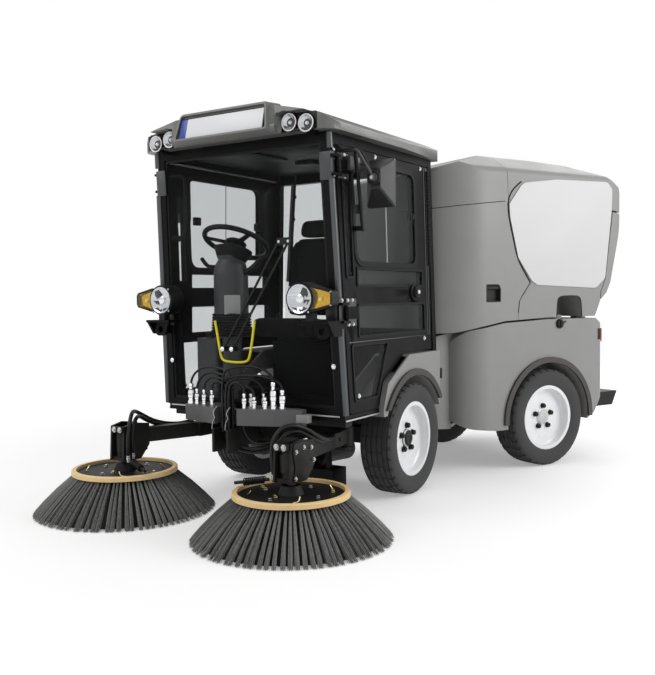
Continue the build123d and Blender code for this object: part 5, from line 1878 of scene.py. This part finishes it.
# ---- driver's place ----
def stuff(obj: Piece, cap: float, grooves: Sequence[tuple[int, float, float]],
        voxel: float = 6.0) -> Piece:
    """Turns a blank into an upholstered pad: skinned, blown up, sewn and smoothed.

    Args:
        obj: The blank, a little smaller than the pad.
        cap: How far any point may swell, in millimetres.
        grooves: Sewn channels: axis number, place on it, depth in millimetres.
        voxel: Size of the skin's mesh.

    Returns:
        The pad.
    """
    take(obj)
    obj.data.remesh_voxel_size = voxel * MM
    bpy.ops.object.voxel_remesh()
    rest = [vertex.co.copy() for vertex in obj.data.vertices]
    bpy.ops.object.modifier_add(type="CLOTH")
    cloth = obj.modifiers[-1]
    cloth.settings.use_pressure = True
    cloth.settings.uniform_pressure_force = 4.0
    cloth.settings.effector_weights.gravity = 0.0
    for number in range(1, 21):
        bpy.context.scene.frame_set(number)
    blown = obj.evaluated_get(bpy.context.evaluated_depsgraph_get()).data
    swollen = [vertex.co.copy() for vertex in blown.vertices]
    bpy.ops.object.modifier_remove(modifier=cloth.name)
    bpy.context.scene.frame_set(1)
    for vertex, start, end in zip(obj.data.vertices, rest, swollen):
        move = end - start
        if move.length > cap * MM:
            move *= cap * MM / move.length
        vertex.co = start + move
    normals = [vertex.normal.copy() for vertex in obj.data.vertices]
    for vertex, normal in zip(obj.data.vertices, normals):
        for axis, place, depth in grooves:
            near = math.exp(-((vertex.co[axis] / MM - place) / 7.0) ** 2)
            vertex.co -= normal * depth * MM * near
    obj.data.update()
    bpy.ops.object.modifier_add(type="SUBSURF")
    obj.modifiers[-1].levels = 1
    bpy.ops.object.modifier_apply(modifier=obj.modifiers[-1].name)
    return obj


@dataclass
class DriverSeat:
    """The sprung seat: a padded cushion, a high back with its head pad, and its controls."""

    x: float = -195.0

    def build(self) -> None:
        """Makes and dresses the seat."""
        cushion = self.cushion()
        settle(cushion, SEAT_CLOTH, "front_unit", angle=60)
        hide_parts("seat_cushion")
        back = self.back()
        settle(back, SEAT_CLOTH, "front_unit", angle=60)
        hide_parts("seat_back")
        settle(self.welt(), SEAL_RUBBER, "front_unit")
        settle(self.controls(), BLACK_ABS, "front_unit")
        LOG.info("seat")

    def cushion(self) -> Piece:
        """The seat pad, deeper at the front edge.

        Returns:
            The new piece.
        """
        blank = block("seat_pad", (self.x - 212, -168, 868), (self.x + 212, 246, 948), 24, 4)
        for vertex in blank.data.vertices:
            if vertex.co.z > 0.9:
                vertex.co.z += 0.016 - 0.07 * (vertex.co.y + 0.12) * (vertex.co.y > -0.12)
        return stuff(blank, 9, [(0, self.x - 118, 6), (0, self.x + 118, 6), (1, -40, 3),
            (1, 60, 3)])

    def back(self) -> Piece:
        """The back pad and the head pad above it.

        Returns:
            The new piece.
        """
        lean = Matrix.Translation((self.x * MM, 0.196, 0.965)) @ Matrix.Rotation(
            math.radians(-5.5), 4, "X") @ facing(22)
        blank = plate("seat_back_pad", [(-172, 6), (172, 6), (178, 120), (176, 400), (120, 492),
            (-120, 492), (-176, 400), (-178, 120)], 64, lean, 46, 8)
        back = stuff(blank, 9, [(0, self.x - 108, 6), (0, self.x + 108, 6)])
        head_lean = Matrix.Translation((self.x * MM, 0.258, 1.462)) @ Matrix.Rotation(
            math.radians(-5.5), 4, "X") @ facing(20)
        head = plate("seat_head_pad", [(-108, 0), (108, 0), (112, 60), (88, 100), (-88, 100),
            (-112, 60)], 46, head_lean, 26, 8)
        return joined("seat_back_pads", [back, stuff(head, 6, [])])

    def welt(self) -> Piece:
        """Piping round the cushion and the moulded shell behind the back.

        Returns:
            The new piece.
        """
        x = self.x
        ring = [(x - 224, 0, 905), (x - 224, -150, 908), (x - 190, -180, 910), (x, -184, 912),
            (x + 190, -180, 910), (x + 224, -150, 908), (x + 224, 0, 905), (x + 224, 220, 900),
            (x + 190, 254, 900), (x, 258, 900), (x - 190, 254, 900), (x - 224, 220, 900),
            (x - 224, 0, 905)]
        piping = tube("seat_piping", ring, 3.2, 6)
        lean = Matrix.Translation((x * MM, 0.226, 0.97)) @ Matrix.Rotation(math.radians(-5.5), 4,
            "X") @ facing(26)
        shell = plate("seat_piping", [(-150, 20), (150, 20), (160, 380), (110, 470), (-110, 470),
            (-160, 380)], 12, lean, 40, 3)
        return joined("seat_piping", [piping, shell])

    def controls(self) -> Piece:
        """Slide rails, the height knob, the recline lever and the belt's buckle.

        Returns:
            The new piece.
        """
        x = self.x
        made = [block("seat_controls", (side_x - 12, -120, 862), (side_x + 12, 250, 878), 3)
            for side_x in (x - 150, x + 150)]
        made.append(tube("seat_controls", [(x + 226, 150, 900), (x + 240, 120, 905),
            (x + 244, 40, 915)], 7, 8))
        made.append(turned("seat_controls", [(0, 0), (22, 0), (22, 14), (18, 20), (0, 20)],
            (x + 224, -90, 888), (1, 0, 0), 16))
        made.append(block("seat_controls", (x - 252, 150, 870), (x - 236, 180, 990), 5, 3))
        return joined("seat_controls", made)


@dataclass
class SteeringStand:
    """The pedestal's bellows, blank badge, stalks, wheel and the tank beside it."""

    x: float = -195.0
    y: float = -600.0
    radius: float = 92.0
    bellows: tuple[float, float] = (886.0, 1012.0)
    hub: Point = (-195.0, -550.0, 1390.0)
    tilt: float = 26.0

    def build(self) -> None:
        """Makes and dresses the stand."""
        settle(self.ribs(), SEAL_RUBBER, "front_unit")
        settle(self.badge(), BADGE_GREY, "front_unit")
        settle(self.stalks(), BLACK_ABS, "front_unit")
        wheel = self.wheel()
        settle(wheel, BLACK_ABS, "front_unit", angle=40)
        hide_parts("steering_wheel")
        settle(self.cap(), BLACK_ABS, "front_unit")
        settle(self.pedals(), BLACK_ABS, "front_unit")
        LOG.info("steering stand")

    def ribs(self) -> Piece:
        """The folds of the bellows and the flared collar under the wheel.

        Returns:
            The new piece.
        """
        low, high = self.bellows
        count = 9
        step = (high - low) / count
        profile = [(96, 0)]
        for number in range(count):
            z = number * step
            profile += [(112 - number * 0.9, z + step * 0.25), (112 - number * 0.9,
                z + step * 0.6), (100 - number * 0.6, z + step * 0.9)]
        profile.append((92, high - low))
        folds = turned("pedestal_bellows", profile, (self.x, self.y, low), (0, 0, 1), 40)
        collar = turned("pedestal_bellows", [(70, 0), (78, 6), (96, 46), (104, 62), (96, 66),
            (60, 68)], (self.x, self.y + 6, 1290), (0, 0.3, 1), 40)
        return joined("pedestal_bellows", [folds, collar])

    def badge(self) -> Piece:
        """A blank plate on the pedestal's shoulder."""
        spot = Matrix.Translation((self.x * MM, self.y * MM, 0)) @ Matrix.Rotation(
            math.radians(42), 4, "Z") @ facing(-self.radius - 1)
        return plate("blank_badge", [(-42, 1004), (42, 1004), (42, 1108), (-42, 1108)], 3, spot, 4)

    def stalks(self) -> Piece:
        """The two levers under the wheel.

        Returns:
            The new piece.
        """
        right = tube("stalks", [(-265, -585, 1262), (-340, -580, 1262), (-392, -570, 1272),
            (-430, -560, 1312)], 11, 10)
        left = tube("stalks", [(-130, -600, 1216), (-84, -590, 1236), (-52, -575, 1262),
            (-20, -560, 1300)], 14, 10)
        return joined("stalks", [right, left])

    def wheel(self) -> Piece:
        """A grippy rim on three spokes and a padded boss.

        Returns:
            The new piece.
        """
        lay_down()
        bpy.ops.mesh.primitive_torus_add(major_radius=175 * MM, minor_radius=14 * MM,
            major_segments=72, minor_segments=14)
        rim = named("padded_wheel")
        bpy.ops.object.transform_apply(location=True, rotation=True, scale=True)
        boss = turned("padded_wheel", [(0, -50), (38, -50), (42, -20), (56, -12), (58, 0),
            (48, 8), (0, 10)], (0, 0, 0), (0, 0, 1), 36)
        spokes = []
        for angle in (90, 210, 330):
            spoke = plate("padded_wheel", [(20, -16), (168, -11), (168, 11), (20, 16)], 9,
                Matrix.Rotation(math.radians(angle), 4, "Z") @ level(-12), 4)
            spokes.append(spoke)
        grip = [block("padded_wheel", (128, -9, 10), (146, 9, 44), 5, 3)]
        wheel = joined("padded_wheel", [rim, boss, *spokes, *grip])
        wheel.data.transform(Matrix.Translation(Vector(self.hub) * MM)
            @ Matrix.Rotation(math.radians(-self.tilt), 4, "X"))
        return wheel

    def cap(self) -> Piece:
        """The washer tank's screw cap and filler neck."""
        spot = (self.x - 140, -612, 892)
        return turned("tank_cap", [(0, -8), (24, -8), (24, 0), (27, 1), (27, 13), (24, 16),
            (0, 17)], spot, (0, 0, 1), 18)

    def pedals(self) -> Piece:
        """Two pedals with ribbed pads on the floor.

        Returns:
            The new piece.
        """
        made = []
        for x in (-70, 60):
            tilt = Matrix.Translation((x * MM, -0.56, 0.57)) @ Matrix.Rotation(math.radians(-52),
                4, "X")
            made.append(plate("pedals", [(-38, -60), (38, -60), (38, 60), (-38, 60)], 10, tilt, 10))
            for v in (-36, -12, 12, 36):
                made.append(plate("pedals", [(-32, v - 4), (32, v - 4), (32, v + 4),
                    (-32, v + 4)], 4, tilt @ level(9), 2))
            made.append(block("pedals", (x - 10, -590, 514), (x + 10, -560, 560), 3))
        return joined("pedals", made)


# ---- lamps, wiper and the rest of the front ----
@dataclass
class Headlamp:
    """A headlamp's reflector, lens, amber signal, bezel and screws."""

    side: Side
    lens: tuple[float, float] = (440.0, 1086.0)
    radius: float = 70.0
    face: float = -870.0

    def build(self) -> None:
        """Makes and dresses the lamp's front."""
        word = self.side.value
        pieces = [self.bezel("lamp"), self.bowl("lamp"), self.signal("lamp")]
        whole = joined(f"lamp_front_{word}", pieces)
        settle(whole, BLACK_ABS, "front_unit", FRONT, self.side)
        LOG.info("headlamp %s", word)

    def bezel(self, name: str) -> Piece:
        """The black surround with its small screws.

        Args:
            name: The piece's name.

        Returns:
            The new piece.
        """
        x, z = self.lens
        ring = dressed(turned(name, [(self.radius + 9, -4), (self.radius + 9, 8),
            (self.radius + 4, 16), (self.radius - 1, 16), (self.radius - 2, 0)],
            (x, self.face, z), (0, -1, 0), 56), BLACK_ABS)
        wing = dressed(ring_of(name, [(x + 52, z - 66), (618, z - 36), (618, z + 36),
            (x + 52, z + 66)], 9, 14, facing(self.face + 6), 16), BLACK_ABS)
        screws = [dressed(bolt(name, spot, (0, -1, 0), 4, 3), ZINC)
            for spot in ((x - 56, self.face - 14, z + 56), (x - 56, self.face - 14, z - 56),
            (x + 52, self.face - 14, z - 62), (610, self.face - 6, z + 30),
            (610, self.face - 6, z - 30))]
        return joined(name, [ring, wing, *screws])

    def bowl(self, name: str) -> Piece:
        """The faceted reflector with its bulb under a clear lens; black plates in the bowl are
        painted dark reflections.

        Args:
            name: The piece's name.

        Returns:
            The new piece.
        """
        x, z = self.lens
        spot, way = (x, self.face, z), (0, -1, 0)
        r = self.radius
        bowl = dressed(turned(name, [(0, -1), (r - 1, -1), (r - 1, 15), (60, 11), (48, 6),
            (30, 2), (18, 1), (0, 1)], spot, way, 22), REFLECTOR)
        shade = dressed(turned(name, [(0, 2), (22, 2), (20, 8), (9, 12), (0, 12)], spot, way, 20),
            CHROME)
        lens = dressed(turned(name, [(r - 2, 13), (r * 0.8, 18), (r * 0.5, 22), (r * 0.2, 24),
            (0, 24)], spot, way, 48), LENS_CLEAR)
        ribs = [dressed(plate(name, [(x - w, z + v - 1), (x + w, z + v - 1), (x + w, z + v + 1),
            (x - w, z + v + 1)], 2, facing(self.face - 14), 0, 0.3), LENS_CLEAR)
            for w, v in ((58, 26), (64, 10), (58, -26), (44, -44))]
        # Black plates in the bowl: painted dark reflections on the reflector, not parts of the
        # lamp.
        dark = [dressed(plate(name, [(x + reach * r * math.cos(math.radians(a)),
            z + reach * r * math.sin(math.radians(a))) for reach, a in corners], 1.5,
            facing(self.face - 11), 0, 0.3), BLACK_ABS) for corners in (
            ((0.36, 78), (0.8, 70), (0.9, 46), (0.62, 30), (0.34, 12), (0.3, 50)),
            ((0.4, -8), (0.74, -4), (0.5, -46)), ((0.62, -58), (0.9, -44), (0.88, -88),
            (0.66, -96), (0.76, -74)), ((0.66, -112), (0.86, -106), (0.84, -140)))]
        return joined(name, [bowl, shade, lens, *ribs, *dark])

    def signal(self, name: str) -> Piece:
        """The amber signal that tapers outwards, with its bulb.

        Args:
            name: The piece's name.

        Returns:
            The new piece.
        """
        x, z = self.lens
        outline = [(x + 58, z - 54), (608, z - 28), (608, z + 28), (x + 58, z + 54)]
        back = dressed(plate(name, outline, 2, facing(self.face + 6), 12), REFLECTOR)
        bulb = dressed(turned(name, [(0, 0), (11, 0), (11, 6), (7, 11), (0, 12)],
            (x + 112, self.face + 4, z - 4), (0, -1, 0), 16), LAMP_WHITE)
        cover = dressed(plate(name, outline, 11, facing(self.face + 3), 12, 3), LENS_AMBER)
        return joined(name, [back, bulb, cover])


@dataclass
class FrontFittings:
    """The frame with its low linkage cheeks, wiper details, and the small step."""

    frame_node: Piece
    mouth_node: Piece

    def build(self) -> None:
        """Makes and dresses the front's small pieces."""
        refitted(self.chassis(), CHASSIS_BLACK, "front_unit", "front_chassis")
        refitted(self.mouth(), CHASSIS_BLACK, "front_unit", "suction_mouth")
        settle(self.flaps(), SEAL_RUBBER, "front_unit")
        settle(self.pivots(), CHROME, "front_unit")
        settle(self.blade(), SEAL_RUBBER, "front_unit")
        step = block("console_step", (352, -812, 486), (428, -770, 526), 3)
        settle(step, PANEL_GREY, "front_unit")
        settle(self.edges(), ZINC, "front_unit")
        LOG.info("front fittings")

    def chassis(self) -> Piece:
        """The front frame, its linkage cheeks cut down behind the hoses."""
        return carved("front_frame", self.frame_node, knives(((-70, -1000, 446), (70, -742, 700)),
            ((-70, -1000, 300), (70, -948, 700))))

    def mouth(self) -> Piece:
        """The suction mouth, narrowed and drawn back behind the brooms."""
        return carved("narrow_suction_mouth", self.mouth_node, knives(
            ((-400, -500, 0), (400, -232, 420)), ((-400, -500, 0), (-202, 0, 420)),
            ((202, -500, 0), (400, 0, 420))))

    def flaps(self) -> Piece:
        """Rubber flaps round the suction mouth's open sides, and its two hangers.

        Returns:
            The new piece.
        """
        made = [block("mouth_flaps", (-206, -236, 20), (206, -228, 132), 2)]
        for x in (-206, 198):
            made.append(block("mouth_flaps", (x, -234, 20), (x + 8, -92, 132), 2))
        for x in (-182, 156):
            made.append(block("mouth_flaps", (x, -226, 128), (x + 26, -200, 350), 3))
            made.append(block("mouth_flaps", (x - 8, -232, 128), (x + 34, -190, 136), 2))
        return joined("mouth_flaps", made)

    def pivots(self) -> Piece:
        """Bright caps on the wiper's posts and at its head."""
        made = [bolt("wiper_pivots", (x, -754, 829), (0, -1, 0), 9, 8) for x in (-136, -76)]
        made += [bolt("wiper_pivots", (x, -784, 1366), (0, -1, 0), 5, 4) for x in (256, 312)]
        return joined("wiper_pivots", made)

    def blade(self) -> Piece:
        """Claws and the long rubber lip of the blade.

        Returns:
            The new piece.
        """
        made = []
        for share in (0.12, 0.35, 0.65, 0.88):
            x, z = 295 + 55 * share, 1170 + 462 * share
            y = screen_y(z)
            made.append(block("wiper_claws", (x - 9, y - 24, z - 8), (x + 9, y - 4, z + 8), 2))
        low = (289, -700 - 76 * 0.455 - 8, 1132)
        high = (356, -700 - 76 * 0.86 - 8, 1682)
        made.append(tube("wiper_claws", [low, tuple((a + b) / 2 for a, b in zip(low, high)),
            high], 4, 6))
        return joined("wiper_claws", made)

    def edges(self) -> Piece:
        """Bent bright brackets that hold the hoses between the consoles.

        Returns:
            The new piece.
        """
        made = []
        for shift in (-58, 26):
            path = [(shift + 22, -924, 556), (shift + 6, -926, 538), (shift, -928, 520),
                (shift + 9, -928, 500), (shift - 6, -928, 474), (shift - 10, -928, 440)]
            made.append(drawn("hose_brackets", path, (2.2,) * len(path), 6))
        return joined("hose_brackets", made)


# ---- rear unit ----
@dataclass
class RearBody:
    """Seams, seals, a painted shadow gap by the white panel, the grab recess's lining and the small
    fittings of the rear unit.
    """

    side: Side
    flank: float = 600.0
    corner: tuple[float, float, float] = (195.0, 510.0, 405.0)
    hopper_pieces: tuple[str, ...] = ("body_seam", "panel_seal", "joint_seal", "recess_lining",
        "notch_lip")
    recess: tuple[tuple[float, float], ...] = ((500, 1047), (617, 1047), (617, 1128), (598, 1155),
        (500, 1155))
    # Line of the white panel's front edge: a real joint, and the wide dark cord along it is painted
    # shade of its groove.
    shadow_gap_line: tuple[tuple[float, float], ...] = ((786, 1782), (735, 1748), (694, 1704),
        (676, 1648), (679, 1600), (684, 1562), (718, 1440), (752, 1318), (806, 1236), (862, 1166))
    joint_line: tuple[tuple[float, float], ...] = ((862, 1166), (815, 1108), (771, 1056),
        (764, 1010), (761, 980))

    def build(self) -> None:
        """Makes and dresses the pieces of one side."""
        word = self.side.value
        self.rest(self.seam(f"body_seam_{word}"), SEAL_RUBBER)
        # Wide dark cord on the panel's front edge: a real joint, drawn wide and dark as painted
        # shade of the groove.
        self.rest(self.along(f"panel_seal_{word}", self.shadow_gap_line, 4.5), SEAL_RUBBER)
        self.rest(self.along(f"joint_seal_{word}", self.joint_line, 2.2), SEAL_RUBBER)
        self.rest(self.lining(f"recess_lining_{word}"), DARK_TRIM)
        self.rest(self.notch_lip(f"notch_lip_{word}"), DARK_TRIM)
        self.rest(self.cap(f"filler_cap_{word}"), BLACK_ABS)
        self.rest(self.marker(f"side_marker_{word}"), DARK_TRIM)
        self.rest(self.latch(f"flap_latch_{word}"), BLACK_ABS)
        self.rest(self.lamp_bezel(f"tail_lamp_bezel_{word}"), BLACK_ABS)
        self.rest(self.pin(f"bumper_pin_{word}"), CHROME)
        LOG.info("rear body %s", word)

    def rest(self, obj: Piece, finish: Finish) -> Piece:
        """Puts a piece on its side of the rear unit or of the hopper."""
        on_hopper = obj.name.startswith(self.hopper_pieces)
        return settle(obj, finish, "hopper" if on_hopper else "rear_unit", REAR, self.side)

    def seam(self, name: str) -> Piece:
        """The joint line that runs round the housing's rounded corner.

        Args:
            name: The piece's name.

        Returns:
            The new piece.
        """
        x0, y0, radius = self.corner
        path = [(x0 + radius * math.sin(a), y0 - radius * math.cos(a), 0.0)
            for a in (math.radians(6 * k) for k in range(2, 16))]
        path += [(self.flank, 560, 0.0), (self.flank, 610, 0.0), (self.flank, 652, 0.0)]
        return tube(name, [(x, y, 1598 + (y - 126) * 0.112) for x, y, _ in path], 2.2, 6)

    def along(self, name: str, line: Outline, radius: float) -> Piece:
        """A rubber cord half sunk in the flank along a line."""
        return tube(name, [(self.flank, y, z) for y, z in line], radius, 8)

    def lining(self, name: str) -> Piece:
        """The cup of the grab recess: floor, walls and a thin lip."""
        walls = ring_of(name, self.recess, 7, 30, flank(self.flank - 29), 8)
        floor = plate(name, self.recess, 3, flank(self.flank - 28), 8, 0)
        grip = block(name, (576, 506, 1124), (597, 606, 1144), 5)
        return joined(name, [walls, floor, grip])

    def notch_lip(self, name: str) -> Piece:
        """A dark edging round the top and sides of the hopper's notch."""
        line = [(1093, 948), (1097, 1010), (1102, 1052), (1120, 1074), (1160, 1079), (1260, 1079),
            (1298, 1074), (1316, 1052), (1322, 1010), (1327, 948)]
        return tube(name, [(self.flank - 1, y, z) for y, z in line], 3.0, 6)

    def cap(self, name: str) -> Piece:
        """A ribbed filler cap with its strap, under the notch.

        Args:
            name: The piece's name.

        Returns:
            The new piece.
        """
        wheel = turned(name, [(0.5, 16), (22, 16), (27, 12), (28, 4), (30, 2), (30, -2),
            (0.5, -2)], (self.flank, 1118, 902), (1, 0, 0), 28)
        ribs = [block(name, (self.flank + 4, 1118 + 27 * math.cos(a) - 3,
            902 + 27 * math.sin(a) - 3), (self.flank + 14, 1118 + 27 * math.cos(a) + 3,
            902 + 27 * math.sin(a) + 3), 1) for a in (math.radians(30 * k) for k in range(12))]
        grip = block(name, (self.flank + 14, 1112, 880), (self.flank + 22, 1124, 924), 3)
        strap = tube(name, [(self.flank + 3, 1146, 902), (self.flank + 6, 1162, 908),
            (self.flank + 4, 1176, 918)], 3.5, 6)
        return joined(name, [wheel, grip, strap, *ribs])

    def marker(self, name: str) -> Piece:
        """A narrow upright reflector in its frame, ahead of the tail lamp."""
        body = block(name, (598, 1480, 792), (603, 1498, 858), 2)
        return joined(name, [body, ring_of(name, [(1477, 789), (1501, 789), (1501, 861),
            (1477, 861)], 3, 5, flank(599), 3)])

    def latch(self, name: str) -> Piece:
        """A small black latch on the flap ahead of the side pod."""
        body = block(name, (446, 252, 595), (456, 276, 656), 3)
        return joined(name, [body, block(name, (455, 258, 604), (461, 270, 632), 2)])

    def lamp_bezel(self, name: str) -> Piece:
        """The bezel round a tail lamp."""
        return ring_of(name, [(464, 764), (566, 764), (566, 866), (464, 866)], 8, 14,
            facing(1541), 6)

    def pin(self, name: str) -> Piece:
        """A bright upright pin with its head, on the bumper's end."""
        return turned(name, [(0.5, -34), (10.8, -34), (10.8, 60), (15, 62), (15, 72), (12, 76),
            (0.5, 76)], (400, 1690, 460), (0, 0, 1), 20)


@dataclass
class Tail:
    """The tail: a gate handle, louvres, a blank plate and its lamp. Their look is a guess."""

    face: float = 1527.0
    slats: int = 7

    def build(self) -> None:
        """Makes and dresses the tail's pieces."""
        handle = tube("gate_handle", [(-150, 1600, 1214), (-150, 1642, 1216), (-138, 1654, 1218),
            (0, 1656, 1220), (138, 1654, 1218), (150, 1642, 1216), (150, 1600, 1214)], 10, 12)
        settle(handle, BLACK_ABS, "tailgate", REAR)
        settle(self.louvres(), DARK_TRIM, "rear_unit", REAR)
        back = Matrix.Translation((0, (self.face + 8) * MM, 0.585)) @ Matrix.Rotation(math.pi, 4,
            "Z") @ facing(0)
        holder = dressed(plate("tail_plate", [(-266, -61), (266, -61), (266, 61), (-266, 61)], 8,
            back @ level(-8), 6), BLACK_ABS)
        sheet = dressed(plate("tail_plate", [(-260, -55), (260, -55), (260, 55), (-260, 55)], 2,
            back, 5, 0.6), PLATE_WHITE)
        lamp = dressed(block("tail_plate", (-46, self.face - 1, 652), (46, self.face + 22, 674),
            4), BLACK_ABS)
        settle(joined("tail_plate", [holder, sheet, lamp]), PLATE_WHITE, "rear_unit", REAR)
        LOG.info("tail")

    def louvres(self) -> Piece:
        """A frame of slanted slats in the engine bay's tail.

        Returns:
            The new piece.
        """
        made = [ring_of("tail_louvres", [(-340, 716), (340, 716), (340, 890), (-340, 890)], 14,
            12, facing(self.face + 10), 10)]
        for number in range(self.slats):
            z = 736 + number * 21
            slat = block("tail_louvres", (-330, self.face - 3, z), (330, self.face + 7, z + 9), 2)
            made.append(slat)
        return joined("tail_louvres", made)


# ---- the machine ----
def main() -> None:
    """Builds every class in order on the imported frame."""
    logging.basicConfig(level=logging.INFO, format="%(message)s")
    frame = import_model()
    dress_nodes(frame["nodes"])
    Studio().build()
    Wheels().build()
    for side in Side:
        Broom(side).build()
        BroomHead(side).build()
    Couplings().build()
    Roof(frame["nodes"]["cab_roof"]).build()
    CabBody().build()
    for side in Side:
        CabDoor(side, frame["nodes"][f"door_{side.value}"]).build()
        Headlamp(side).build()
    DriverSeat().build()
    SteeringStand().build()
    FrontFittings(frame["nodes"]["front_chassis"], frame["nodes"]["suction_mouth"]).build()
    for side in Side:
        RearBody(side).build()
    Tail().build()


if __name__ == "__main__":
    main()
